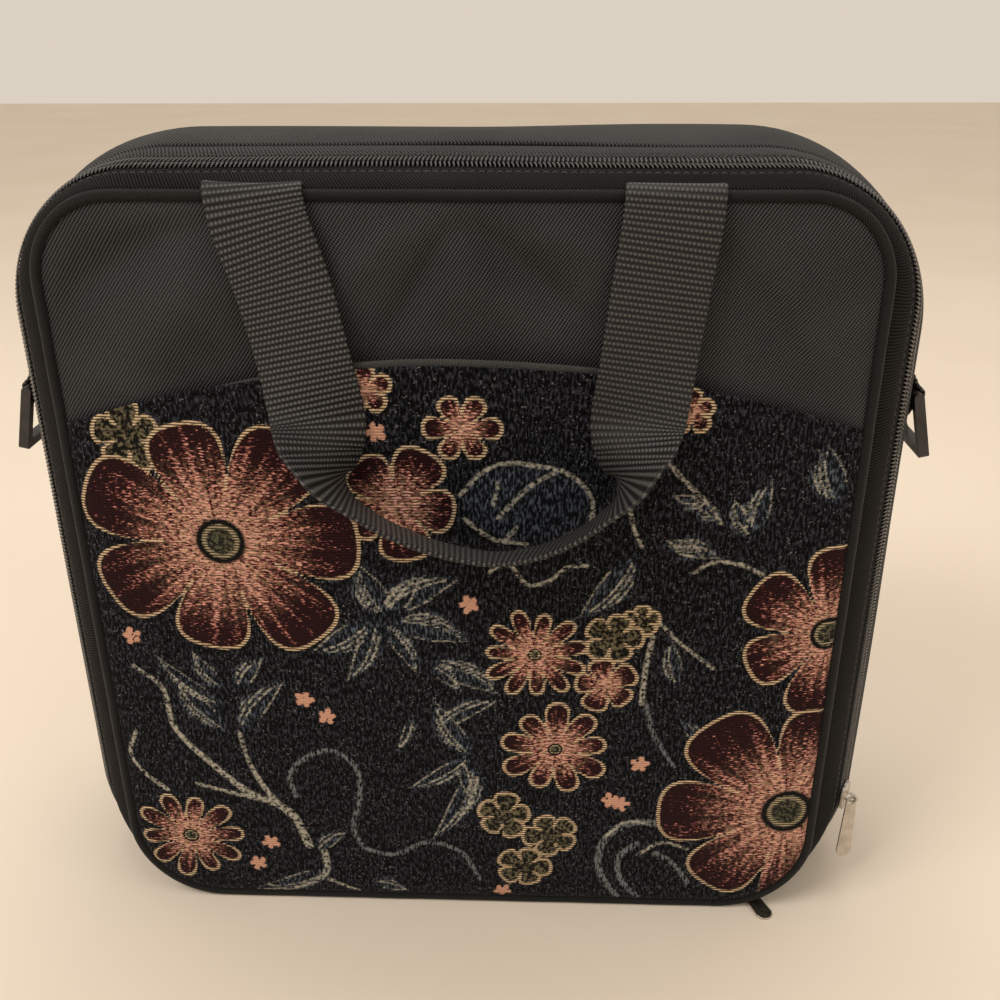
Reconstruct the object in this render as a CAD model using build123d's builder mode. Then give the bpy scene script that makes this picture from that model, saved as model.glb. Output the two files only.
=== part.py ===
"""Soft travel bag: a zipped front cover with a slip pocket, webbing handles and side rings.

Millimetres. The origin is on the table under the middle of the bag, +Z is up and the front faces -Y.
A depth is counted from the front of the front piping towards the back.
"""

import os
from math import asin, cos, radians, sin

from build123d import *

# Overall form
panel_width = 330.0  # front panel between the inner edges of the piping
panel_top = 348.5  # height of the panel's upper edge above the table
bag_depth = 145.0  # front of the front piping to back of the rear piping
belly_side = 32.0  # how far the sides stand out past the panel
belly_top = 16.5  # how far the top stands up past the panel
crest_rise = 4.0  # extra rise of the top at mid depth
shoulder_depth = 45.0  # depth at which the sides are full
base_tuck = 9.0  # how far the zip is drawn up under the base
panel_top_radius = 31.5
panel_base_radius = 40.0
belly_top_radius = 78.0
belly_base_radius = 48.0
side_swell_power_share = 1.3  # roundness of the shoulder at the sides
top_swell_power_share = 1.15  # roundness of the shoulder at the top

# Cloth, piping and zip
cloth = 2.0  # padded polyester wall
panel_thickness = 3.0
piping_diameter = 5.0
seam_gap = 0.2  # between pieces that are sewn edge to edge
swing_gap = 0.4  # between the cover's cloth and what it swings past
zip_depth = 25.0  # middle of the zip
zip_gap = 1.6  # between the two rows of teeth
coil_width = 3.0
coil_thickness = 2.4
coil_proud = 0.8  # teeth above the tape
tape_width = 3.7
tape_thickness = 1.2
base_half_width = 105.0  # half of the flat bottom between the ends of the zip

# Bottom stiffener
board_thickness = 2.0
board_margin = 6.0

# Slip pocket
pocket_edge_height = 258.5  # at the side seams
pocket_crown_height = 287.0  # at the middle of its arched mouth
pocket_thickness = 2.0
pocket_bulge = 8.0  # how far the mouth stands off the panel
pocket_seam = 12.0  # sewn margin along the bottom
pocket_height_shares = (0.0, 0.2, 0.45, 0.72, 1.05)
pocket_bulge_shares = (0.03, 0.36, 0.68, 0.9, 1.0)
facing_thickness = 1.0
facing_drop = 30.0  # how deep the lining is turned in
facing_peep = 2.5  # lining that shows above the tapestry
facing_width_share = 0.6

# Handles
handle_width = 38.0
handle_thickness = 1.8
handle_half_span = 79.5  # middle of a leg at the top seam
handle_drop = 141.0  # top seam to the bottom of the loop
handle_sway = 16.0  # how far the loop hangs to the right
handle_stand_off = 27.5  # middle of the loop in front of its hinge line
handle_lift = 20.0  # tilt of the bottom of the loop, in degrees
handle_hinge_gap = 0.5  # between a leg and the piping

# Side tabs and rings
tab_width = 25.0
tab_thickness = 1.6
tab_height = 26.0
tab_centre_height = 258.0
tab_depth = 60.5  # middle of the tab behind the front
ring_bar = 4.4
ring_length = 31.0
ring_play = 0.5
ring_side_play = 0.8
ring_corner = 1.6
ring_tilt = 13.0  # in degrees, outwards

# Zip sliders and pulls
slider_length = 16.0
slider_nose_width = 11.0
slider_tail_width = 8.4
slider_plate = 1.5
slider_round = 0.5
slider_clearance = 0.4
slider_under_gap = 0.9
post_thickness = 0.8
post_length = 4.0
bail_radius = 2.2
bail_wire = 1.4
bail_leg = 2.9
pull_length = 38.0
pull_width = 8.4
pull_thickness = 1.0
pull_eye_width = 5.7
pull_hole = 3.7
pull_round = 0.3
side_slider_height = 54.0
side_pull_twist = 42.0  # in degrees, of its face towards the front
base_slider_inset = 7.5  # middle of the base slider before the zip's lower corner
base_pull_turn = 25.0  # in degrees, from straight ahead
base_pull_droop = 4.5  # in degrees, below level

overrun = 5.0  # how far a cut runs past what it cuts

# Worked out from the sizes above
piping_radius = piping_diameter / 2
half_panel = panel_width / 2
mid_depth = bag_depth / 2
edge_depth = piping_diameter + swing_gap
front_coil_end = zip_depth - zip_gap / 2
front_coil_start = front_coil_end - coil_width
front_tape_start = front_coil_start - tape_width
rear_coil_start = zip_depth + zip_gap / 2
rear_coil_end = rear_coil_start + coil_width
rear_tape_end = rear_coil_end + tape_width
panel_face = piping_radius - panel_thickness / 2
hinge_height = panel_top + piping_diameter

os.makedirs("parts", exist_ok=True)


def station_y(depth):
    """Place along Y of a depth behind the front."""
    return depth - mid_depth


def depth_plane(depth):
    """Upright plane at a depth, with its own X along X and its own Y along Z."""
    return Plane.XZ.offset(-station_y(depth))


def swell(depth, power):
    """Share of the belly that is reached at a depth: a superellipse shoulder at the front and the back."""
    run = min(depth, bag_depth - depth) - edge_depth
    share = min(max(run / (shoulder_depth - edge_depth), 0), 1)
    return (1 - (1 - share) ** power) ** (1 / power)


def tuck(depth):
    """Height of the cloth above the table under the zip, where the base is drawn in."""
    rise = (depth - edge_depth) / (front_coil_start - edge_depth)
    fall = (shoulder_depth - depth) / (shoulder_depth - rear_coil_end)
    return base_tuck * min(max(min(rise, fall), 0), 1)


def section(depth):
    """Half width, low edge, top edge, top radius and base radius of the bag at a depth."""
    side = swell(depth, side_swell_power_share)
    top = swell(depth, top_swell_power_share)
    crest = crest_rise if abs(depth - mid_depth) < seam_gap else 0
    seam_top_radius = panel_top_radius + piping_diameter
    seam_base_radius = panel_base_radius + piping_diameter
    return (
        half_panel + piping_diameter + (belly_side - piping_diameter) * side,
        tuck(depth),
        panel_top + piping_diameter + (belly_top - piping_diameter) * top + crest,
        seam_top_radius + (belly_top_radius - seam_top_radius) * top,
        seam_base_radius + (belly_base_radius - seam_base_radius) * side,
    )


def rounded_outline(half_width, low, top, top_radius, base_radius):
    """Rectangle that stands on its low edge, with its own radius at the top and at the base."""
    with Locations((0, (low + top) / 2)):
        Rectangle(2 * half_width, top - low)
    fillet(vertices().group_by(Axis.Y)[-1], top_radius)
    fillet(vertices().group_by(Axis.Y)[0], base_radius)


def skin_face(depth, proud):
    """Face inside the bag's outline at a depth, moved outwards by proud."""
    half_width, low, top, top_radius, base_radius = section(depth)
    low = max(low - proud, 0)
    with BuildSketch(depth_plane(depth)) as skin:
        rounded_outline(half_width + proud, low, top + proud, top_radius + proud, base_radius + proud)
    return skin.sketch.face()


def add_band(depths, proud, thickness):
    """Ring of cloth that follows the bag's outline through the given depths."""
    for skin, mode in ((proud, Mode.ADD), (proud - thickness, Mode.SUBTRACT)):
        loft([skin_face(depth, skin) for depth in depths], ruled=True, mode=mode)


def cut_base(half_width):
    """Opens a ring along the flat bottom, which has a piece of its own."""
    with BuildSketch(Plane.XY) as base:
        Rectangle(2 * half_width, bag_depth)
    extrude(base.sketch, amount=base_tuck + coil_thickness + overrun, both=True, mode=Mode.SUBTRACT)


def panel_outline(margin):
    """Outline of the front or back panel, smaller than the piping's inner edge by a margin."""
    rounded_outline(
        half_panel - margin,
        piping_diameter + margin,
        panel_top - margin,
        panel_top_radius - margin,
        panel_base_radius - margin,
    )


def save(builder, name):
    """Labels a finished piece and writes it."""
    builder.part.label = name
    export_step(builder.part, f"parts/{name}.step")


# Panels: flat boards of padded cloth inside the two pipings
with BuildPart() as front_panel:
    with BuildSketch(depth_plane(panel_face)):
        panel_outline(seam_gap)
    extrude(amount=-panel_thickness)
save(front_panel, "front_panel")

with BuildPart() as rear_panel:
    with BuildSketch(depth_plane(bag_depth - panel_face)):
        panel_outline(seam_gap)
    extrude(amount=panel_thickness)
save(rear_panel, "rear_panel")


def add_piping(depth):
    """Round cord along the edge of a panel."""
    with BuildSketch(depth_plane(depth)) as route:
        panel_outline(-piping_radius)
    rim = route.sketch.face().outer_wire()
    with BuildSketch(Plane(origin=rim @ 0, z_dir=rim % 0)) as cord:
        Circle(piping_radius)
    sweep(cord.sketch, path=rim)


with BuildPart() as front_piping:
    add_piping(piping_radius)
save(front_piping, "front_piping")

with BuildPart() as rear_piping:
    add_piping(bag_depth - piping_radius)
save(rear_piping, "rear_piping")

# Bands of the cover and of the body, from the front to the back
with BuildPart() as front_strip:
    add_band((edge_depth, (edge_depth + front_tape_start) / 2, front_tape_start), 0, cloth)
    cut_base(base_half_width + swing_gap)
save(front_strip, "front_strip")

with BuildPart() as front_zip_tape:
    add_band((front_tape_start, front_coil_start), 0, tape_thickness)
    cut_base(base_half_width + swing_gap)
save(front_zip_tape, "front_zip_tape")

with BuildPart() as front_zip_coil:
    add_band((front_coil_start, front_coil_end), coil_proud, coil_thickness)
    cut_base(base_half_width + swing_gap)
save(front_zip_coil, "front_zip_coil")

with BuildPart() as rear_zip_coil:
    add_band((rear_coil_start, rear_coil_end), coil_proud, coil_thickness)
    cut_base(base_half_width)
save(rear_zip_coil, "rear_zip_coil")

with BuildPart() as rear_zip_tape:
    add_band((rear_coil_end, rear_tape_end), 0, tape_thickness)
    cut_base(base_half_width)
save(rear_zip_tape, "rear_zip_tape")

with BuildPart() as rear_zip_facing:
    add_band((rear_tape_end, (rear_tape_end + shoulder_depth) / 2, shoulder_depth), 0, cloth)
    cut_base(base_half_width)
save(rear_zip_facing, "rear_zip_facing")

gusset_end = bag_depth - edge_depth
rear_shoulder = bag_depth - shoulder_depth
rear_shoulder_shares = (0.0, 0.35, 0.65, 0.86, 1.0)
gusset_depths = [shoulder_depth, mid_depth]
gusset_depths += [rear_shoulder + share * (gusset_end - rear_shoulder) for share in rear_shoulder_shares]

with BuildPart() as main_gusset:
    add_band(gusset_depths, 0, cloth)
    cut_base(base_half_width)
save(main_gusset, "main_gusset")

with BuildPart() as bottom_panel:
    with BuildSketch(Plane.XY):
        Rectangle(2 * base_half_width, gusset_end - edge_depth)
    extrude(amount=cloth)
save(bottom_panel, "bottom_panel")

with BuildPart() as base_board:
    with BuildSketch(Plane.XY.offset(cloth)):
        Rectangle(2 * (base_half_width - board_margin), bag_depth - 2 * (edge_depth + board_margin))
        fillet(vertices(), board_margin)
    extrude(amount=board_thickness)
save(base_board, "base_board")


def add_pocket_swell(low, front, flat):
    """Space between the panel and an arched sheet that stands off more towards the mouth.

    low is where it starts, front how far the sheet's face is in front of the panel, and flat how much
    of that also holds at the side seams.
    """
    face = station_y(panel_face)
    half = half_panel - seam_gap
    height = pocket_crown_height - low
    sections = []
    for height_share, bulge_share in zip(pocket_height_shares, pocket_bulge_shares):
        crown = face - flat - (pocket_bulge + front) * bulge_share
        with BuildSketch(Plane.XY.offset(low + height * height_share)) as slice_plan:
            with BuildLine():
                ThreePointArc((-half, face - flat), (0, crown), (half, face - flat))
                Polyline(
                    (half, face - flat),
                    (half, face + overrun),
                    (-half, face + overrun),
                    (-half, face - flat),
                )
            make_face()
        sections.append(slice_plan.sketch.face())
    loft(sections, ruled=True)


def mouth_outline(top_shift, half_width, low):
    """Upright outline whose top edge is the pocket's arched mouth, raised by top_shift."""
    with BuildSketch(depth_plane(panel_face)) as mouth:
        with BuildLine():
            ThreePointArc(
                (-half_panel, pocket_edge_height + top_shift),
                (0, pocket_crown_height + top_shift),
                (half_panel, pocket_edge_height + top_shift),
            )
            Polyline(
                (half_panel, pocket_edge_height + top_shift),
                (half_panel, low),
                (-half_panel, low),
                (-half_panel, pocket_edge_height + top_shift),
            )
        make_face()
        with Locations((0, low)):
            Rectangle(2 * half_width, 2 * panel_top, mode=Mode.INTERSECT)
    return mouth.sketch


# Slip pocket: a sheet sewn down at the sides and the bottom
panel_low = piping_diameter + seam_gap
pocket_reach = pocket_bulge + pocket_thickness + overrun

with BuildPart() as pocket_space:
    add_pocket_swell(panel_low + pocket_seam, 0, 0)

with BuildPart() as pocket_panel:
    add_pocket_swell(panel_low, 0, pocket_thickness)
    add(pocket_space.part, mode=Mode.SUBTRACT)
    with BuildSketch(depth_plane(panel_face)):
        panel_outline(seam_gap)
    extrude(amount=pocket_reach, mode=Mode.INTERSECT)
    extrude(mouth_outline(0, half_panel, panel_low), amount=pocket_reach, mode=Mode.INTERSECT)
save(pocket_panel, "pocket_panel")

with BuildPart() as facing_space:
    add_pocket_swell(panel_low + pocket_seam, -facing_thickness, 0)

with BuildPart() as pocket_facing:
    add(pocket_space.part)
    add(facing_space.part, mode=Mode.SUBTRACT)
    facing_half = half_panel * facing_width_share
    extrude(mouth_outline(facing_peep, facing_half, panel_low), amount=pocket_reach, mode=Mode.INTERSECT)
    extrude(mouth_outline(-facing_drop, half_panel, panel_low), amount=pocket_reach, mode=Mode.SUBTRACT)
save(pocket_facing, "pocket_facing")

# Handles: a flat strap whose legs hang in front of the panel and turn edge-on along the bottom of the loop.
# Each row is a place on the right half: share of the half span, of the stand-off and of the drop, of the
# quarter turn that the strap has made there, and of the sway.
handle_shares = (
    (1.0, 0.0, 0.0, 0.0, 0.2),
    (1.0, 0.03, 0.03, 0.0, 0.2),
    (0.92, 0.17, 0.25, 0.0, 0.36),
    (0.83, 0.36, 0.53, 0.02, 0.48),
    (0.8, 0.46, 0.62, 0.14, 0.5),
    (0.78, 0.74, 0.7, 0.48, 0.52),
    (0.75, 0.92, 0.765, 0.8, 0.56),
    (0.69, 0.98, 0.82, 0.96, 0.62),
    (0.57, 1.0, 0.88, 1.0, 0.7),
    (0.38, 1.0, 0.945, 1.0, 0.82),
    (0.18, 1.0, 0.985, 1.0, 0.94),
    (0.0, 1.0, 1.0, 1.0, 1.0),
)
handle_depth = -handle_hinge_gap - handle_thickness / 2


def handle_stations():
    """Centre and width direction of the strap from the right leg's top round to the left leg's top."""
    right, left = [], []
    tilt = radians(handle_lift)
    for span_share, stand_share, drop_share, turn_share, sway_share in handle_shares:
        turn = radians(90 * turn_share)
        reach = handle_half_span * span_share
        sway = handle_sway * sway_share
        depth = station_y(handle_depth) - handle_stand_off * stand_share
        height = hinge_height - handle_drop * drop_share
        ahead = -sin(turn) * cos(tilt)
        rise = sin(turn) * sin(tilt)
        right.append((Vector(sway + reach, depth, height), Vector(cos(turn), ahead, rise)))
        left.append((Vector(sway - reach, depth, height), Vector(-cos(turn), ahead, rise)))
    return right + left[-2::-1]


with BuildPart() as front_handle:
    stations = handle_stations()
    for index, (centre, width_way) in enumerate(stations):
        before = stations[max(index - 1, 0)][0]
        after = stations[min(index + 1, len(stations) - 1)][0]
        run = (after - before).normalized()
        along = run - width_way * run.dot(width_way)
        with BuildSketch(Plane(origin=centre, x_dir=width_way, z_dir=along)):
            Rectangle(handle_width, handle_thickness)
    loft(ruled=True)
save(front_handle, "front_handle")

with BuildPart() as rear_handle:
    add(mirror(front_handle.part, about=Plane.XZ))
save(rear_handle, "rear_handle")

# Side tabs and their rings
side_face = half_panel + belly_side
ring_axis_reach = side_face + tab_thickness + ring_play + ring_bar / 2
ring_hole_radius = ring_bar / 2 + ring_play
tab_plane = depth_plane(tab_depth)


def add_tab(side):
    """Webbing folded round a ring's bar, with both ends sewn to the side of the bag."""
    for grow, mode in ((tab_thickness, Mode.ADD), (0, Mode.SUBTRACT)):
        back = side_face + tab_thickness - grow
        height = tab_height - 4 * (tab_thickness - grow)
        with BuildSketch(tab_plane) as loop:
            with Locations((side * ring_axis_reach, tab_centre_height)):
                Circle(ring_hole_radius + grow)
            with Locations((side * (back + tab_thickness / 4), tab_centre_height)):
                Rectangle(tab_thickness / 2, height)
            make_hull()
        extrude(loop.sketch, amount=tab_width / 2, both=True, mode=mode)


def add_ring(side):
    """Rectangular ring: a round bar inside the tab and a square bar on the other three sides."""
    inner = tab_width / 2 + ring_side_play
    outer = inner + ring_bar
    hang = Plane(
        origin=(side * ring_axis_reach, station_y(tab_depth), tab_centre_height),
        x_dir=(0, 1, 0),
        z_dir=(side * cos(radians(ring_tilt)), 0, sin(radians(ring_tilt))),
    )
    low = side * (ring_length - ring_bar)
    with BuildSketch(hang) as frame:
        with BuildLine():
            Polyline(
                (-outer, 0),
                (-outer, -low - side * ring_bar / 2),
                (outer, -low - side * ring_bar / 2),
                (outer, 0),
                (inner, 0),
                (inner, -low + side * ring_bar / 2),
                (-inner, -low + side * ring_bar / 2),
                (-inner, 0),
                close=True,
            )
        make_face()
        fillet(vertices().filter_by(lambda v: abs(v.Y) > ring_bar), ring_corner)
    extrude(frame.sketch, amount=ring_bar / 2, both=True)
    with BuildSketch(Plane(origin=hang.origin, z_dir=(0, 1, 0))) as bar:
        Circle(ring_bar / 2)
    extrude(bar.sketch, amount=outer, both=True)


with BuildPart() as side_tab_right:
    add_tab(1)
save(side_tab_right, "side_tab_right")

with BuildPart() as side_tab_left:
    add_tab(-1)
save(side_tab_left, "side_tab_left")

with BuildPart() as ring_right:
    add_ring(1)
save(ring_right, "ring_right")

with BuildPart() as ring_left:
    add(mirror(ring_right.part, about=Plane.YZ))
save(ring_left, "ring_left")

# Zip sliders: a plane on the zip with X along the teeth, Y across them and Z outwards
zip_half_width, zip_low, _, _, zip_base_radius = section(zip_depth)
side_slope = (section(rear_coil_end)[0] - section(front_coil_start)[0]) / (rear_coil_end - front_coil_start)
base_slider_reach = zip_half_width - zip_base_radius - base_slider_inset
side_drop = max(zip_low + zip_base_radius - side_slider_height, 0)  # below the start of the zip's corner
side_lean = asin(side_drop / zip_base_radius)
side_inset = zip_base_radius * (1 - cos(side_lean))
side_zip_plane = Plane(
    origin=(zip_half_width - side_inset, station_y(zip_depth), side_slider_height),
    x_dir=(sin(side_lean), 0, cos(side_lean)),
    z_dir=(cos(side_lean), -side_slope, -sin(side_lean)),
)
base_zip_plane = Plane(
    origin=(base_slider_reach, station_y(zip_depth), zip_low),
    x_dir=(1, 0, 0),
    z_dir=(0, 0, -1),
)
plate_low = coil_proud + slider_clearance
plate_top = plate_low + slider_plate
bail_height = plate_top + bail_leg
under_top = coil_proud - coil_thickness - slider_under_gap


def slider_outline():
    """Plan of a slider: broad at the nose, narrower at the tail."""
    nose = slider_length / 2 - slider_nose_width / 2
    tail = slider_length / 2 - slider_tail_width / 2
    with Locations((nose, 0)):
        Circle(slider_nose_width / 2)
    with Locations((-tail, 0)):
        Circle(slider_tail_width / 2)
    make_hull()


def add_slider(zip_plane, held_side):
    """Upper plate, post and bail, with a lower plate under the teeth of one side only, +1 or -1 across."""
    outward = Axis(zip_plane.origin, zip_plane.z_dir)
    with BuildSketch(zip_plane.offset(plate_low)) as upper:
        slider_outline()
    extrude(upper.sketch, amount=slider_plate)
    fillet(faces().sort_by(outward)[-1].edges(), slider_round)
    with BuildSketch(zip_plane.offset(under_top - slider_plate)) as lower:
        slider_outline()
        with Locations((0, held_side * (slider_nose_width - post_thickness) / 2)):
            Rectangle(slider_length, slider_nose_width, mode=Mode.INTERSECT)
    extrude(lower.sketch, amount=slider_plate)
    through = Vector(zip_plane.z_dir.X, 0, zip_plane.z_dir.Z)
    post_plane = Plane(origin=zip_plane.origin, x_dir=zip_plane.x_dir, z_dir=through)
    post_foot = under_top - slider_plate / 2
    with BuildSketch(post_plane.offset(post_foot)) as post:
        with Locations((slider_length / 2 - post_length, 0)):
            Rectangle(post_length, post_thickness)
    extrude(post.sketch, amount=plate_low + slider_plate / 2 - post_foot)
    arch = Plane(origin=zip_plane.origin, x_dir=zip_plane.x_dir, z_dir=-zip_plane.y_dir)
    foot = plate_top - slider_plate / 2
    with BuildLine(arch) as bow:
        Line((-bail_radius, foot), (-bail_radius, bail_height))
        ThreePointArc((-bail_radius, bail_height), (0, bail_height + bail_radius), (bail_radius, bail_height))
        Line((bail_radius, bail_height), (bail_radius, foot))
    with BuildSketch(Plane(origin=bow.line @ 0, z_dir=bow.line % 0)) as wire:
        Circle(bail_wire / 2)
    sweep(wire.sketch, path=bow.line)


def add_pull(eye_plane):
    """Teardrop pull in the XY of a plane, with its eye at the origin and its tip along X."""
    reach = pull_length - pull_eye_width / 2 - pull_width / 2
    with BuildSketch(eye_plane.offset(-pull_thickness / 2)) as plan:
        Circle(pull_eye_width / 2)
        with Locations((reach, 0)):
            Circle(pull_width / 2)
        make_hull()
        Circle(pull_hole / 2, mode=Mode.SUBTRACT)
    extrude(plan.sketch, amount=pull_thickness)
    fillet(edges(), pull_round)


def on_plane(plane, along, across, out):
    """Point at the given distances along a plane's X, Y and Z."""
    return plane.origin + plane.x_dir * along + plane.y_dir * across + plane.z_dir * out


with BuildPart() as side_slider:
    add_slider(side_zip_plane, 1)
save(side_slider, "side_slider")

with BuildPart() as side_pull:
    side_eye = on_plane(side_zip_plane, -bail_radius, 0, bail_height)
    side_face = Vector(1, -side_slope, 0).rotate(Axis.Z, -side_pull_twist)
    add_pull(Plane(origin=side_eye, x_dir=(0, 0, -1), z_dir=side_face))
save(side_pull, "side_pull")

with BuildPart() as base_slider:
    add_slider(base_zip_plane, -1)
save(base_slider, "base_slider")

with BuildPart() as base_pull:
    base_eye = on_plane(base_zip_plane, bail_radius, 0, bail_height)
    turn = radians(base_pull_turn)
    droop = radians(base_pull_droop)
    ahead = Vector(sin(turn) * cos(droop), -cos(turn) * cos(droop), -sin(droop))
    sideways = Vector(cos(turn), sin(turn), 0)
    add_pull(Plane(origin=base_eye, x_dir=ahead, z_dir=sideways.cross(ahead)))
save(base_pull, "base_pull")
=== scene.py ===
"""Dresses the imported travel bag: padded cloth, piping, zip, webbing, a tapestry pocket and nickel.

Lengths in the classes are millimetres in the part's own frame: +X is to the right seen from the front,
+Z is up, the front faces -Y, and a depth counts from the front of the piping towards the back.
"""

import logging
from dataclasses import dataclass
from enum import Enum
from typing import Any, Optional, Sequence

import bpy
import numpy as np
from mathutils import Matrix, Vector


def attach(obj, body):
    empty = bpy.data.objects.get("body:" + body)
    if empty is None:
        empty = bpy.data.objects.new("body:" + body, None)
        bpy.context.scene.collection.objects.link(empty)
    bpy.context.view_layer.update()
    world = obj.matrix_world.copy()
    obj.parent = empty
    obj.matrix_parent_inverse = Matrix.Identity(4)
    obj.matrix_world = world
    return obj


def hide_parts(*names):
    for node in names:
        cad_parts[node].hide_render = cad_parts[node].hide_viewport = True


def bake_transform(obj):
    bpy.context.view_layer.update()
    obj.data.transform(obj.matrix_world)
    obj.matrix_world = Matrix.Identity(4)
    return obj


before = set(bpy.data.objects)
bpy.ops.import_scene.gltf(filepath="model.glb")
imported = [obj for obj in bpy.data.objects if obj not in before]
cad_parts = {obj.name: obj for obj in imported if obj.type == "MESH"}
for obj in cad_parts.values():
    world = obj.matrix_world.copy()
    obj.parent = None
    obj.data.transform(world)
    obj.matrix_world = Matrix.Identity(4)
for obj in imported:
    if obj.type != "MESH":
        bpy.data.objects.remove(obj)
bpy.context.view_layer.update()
LOG = logging.getLogger("travel_bag")
Array = np.ndarray
Material = bpy.types.Material
Piece = bpy.types.Object

# Metres in a millimetre, and the scale that takes a cloth map from metres to millimetres.
MM = 0.001
PER_MM = (1000.0, 1000.0, 1.0)
# Length after which Blender's wave texture repeats at a scale of 1.
WAVE = np.pi / 10
# Distance that stands for no woven line near by.
FAR = 9.0
# Lowest level of the cloth, just clear of the floor.
FLOOR_GAP = 0.05
# Numbers on the tapestry's corners that its finish draws the figures from.
FIELD_NAMES = (
    "bloom_gap", "bloom_edge", "bloom_share", "bloom_x", "bloom_z", "bloom_kind", "bloom_eye",
    "leaf_gap", "leaf_line", "stem_line", "vine_line",
)


def linear(code: str) -> tuple[float, float, float, float]:
    """Turns an sRGB hex value into linear colour.

    Args:
        code: Six hex digits after a hash sign.

    Returns:
        Red, green, blue and a full alpha.
    """
    raw = np.array([int(code[i : i + 2], 16) for i in (1, 3, 5)]) / 255
    curve = np.where(raw <= 0.04045, raw / 12.92, ((raw + 0.055) / 1.055) ** 2.4)
    return (*curve.tolist(), 1.0)


def add(tree: Any, kind: str, inputs: dict, out: Any = 0, **settings: Any) -> Any:
    """Adds a shader node, sets it up and links it.

    Args:
        tree: Node tree that gets the node.
        kind: Type of the node, without Blender's prefix.
        inputs: Value or linked socket for each input, by name or number.
        out: Which output is handed back.
        **settings: Properties of the node.

    Returns:
        The chosen output socket, or None where the node has none.
    """
    node = tree.nodes.new("ShaderNode" + kind)
    for name, value in settings.items():
        setattr(node, name, value)
    for key, value in inputs.items():
        if isinstance(value, bpy.types.NodeSocket):
            tree.links.new(value, node.inputs[key])
        else:
            node.inputs[key].default_value = value
    return node.outputs[out] if node.outputs else None


@dataclass(frozen=True)
class Finish:
    """A finish, named for the real material."""

    name: str

    def draw(self, tree: Any) -> Any:
        """Adds the finish's own nodes and gives its shader."""
        raise NotImplementedError

    def material(self) -> Material:
        """Makes a node material with the finish's shader on the surface.

        Returns:
            The material.
        """
        material = bpy.data.materials.new(self.name)
        material.use_nodes = True
        tree = material.node_tree
        tree.nodes.clear()
        add(tree, "OutputMaterial", {"Surface": self.draw(tree)})
        return material


@dataclass(frozen=True)
class OxfordCloth(Finish):
    """Polyester oxford cloth: coarse twisted yarns in a close weave."""

    dark: str
    light: str
    pitch: float = 1.25
    slant: float = 0.62
    roughness: float = 0.62
    sheen: float = 0.25
    relief: float = 0.24
    gloss: float = 0.15

    def draw(self, tree: Any) -> Any:
        """Draws two crossed waves for the yarns, with fuzz on them and slow patches of tone.

        Real yarns lie about 0.5 mm apart. That is too fine to show, so they are drawn at the coarser pitch.

        Args:
            tree: Node tree of the material.

        Returns:
            The shader.
        """
        # To the eye it is dull, a slanting grid of yarns with a painted highlight on their tops and painted
        # shade in the gaps, with a faint sheen at its edges.
        uv = add(tree, "UVMap", {}, uv_map="cloth")
        turn = (0.0, 0.0, self.slant)
        place = add(tree, "Mapping", {"Vector": uv, "Rotation": turn, "Scale": PER_MM})
        twist = {"Vector": place, "Distortion": 1.1, "Detail": 1.0, "Detail Scale": 0.7}
        weft, warp = (
            add(tree, "TexWave", {**twist, "Scale": WAVE / self.pitch * rate}, out=1, bands_direction=axis)
            for rate, axis in ((1.0, "X"), (1.3, "Y"))
        )
        fuzz, patches = (
            add(tree, "TexNoise", {"Vector": place, "Scale": scale, "Detail": detail})
            for scale, detail in ((0.9, 3.0), (0.03, 2.0))
        )
        sums = [weft]
        for part, share in ((warp, 0.55), (fuzz, 0.6), (patches, 0.5)):
            sums.append(add(tree, "Math", {0: part, 1: share, 2: sums[-1]}, operation="MULTIPLY_ADD"))
        height, level = sums[2:]
        # Colour follows the weave's height, as painted highlight on the yarns and painted shade in the gaps,
        # plus fuzz and slow patches of random tone.
        tone = add(tree, "MapRange", {"Value": level, "From Min": 0.95, "From Max": 1.9})
        shades = {"Color1": linear(self.dark), "Color2": linear(self.light)}
        worn = {"To Min": self.roughness - 0.08, "To Max": self.roughness + 0.1}
        bump = {"Height": height, "Distance": self.relief * MM, "Strength": 0.9}
        return add(
            tree,
            "BsdfPrincipled",
            {
                "Base Color": add(tree, "MixRGB", {"Fac": tone, **shades}),
                "Roughness": add(tree, "MapRange", {"Value": fuzz, **worn}),
                "Normal": add(tree, "Bump", bump),
                "Specular IOR Level": self.gloss,
                "Sheen Weight": self.sheen,
                "Sheen Roughness": 0.45,
                "Sheen Tint": linear("#b9b4ac"),
            },
        )


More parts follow.
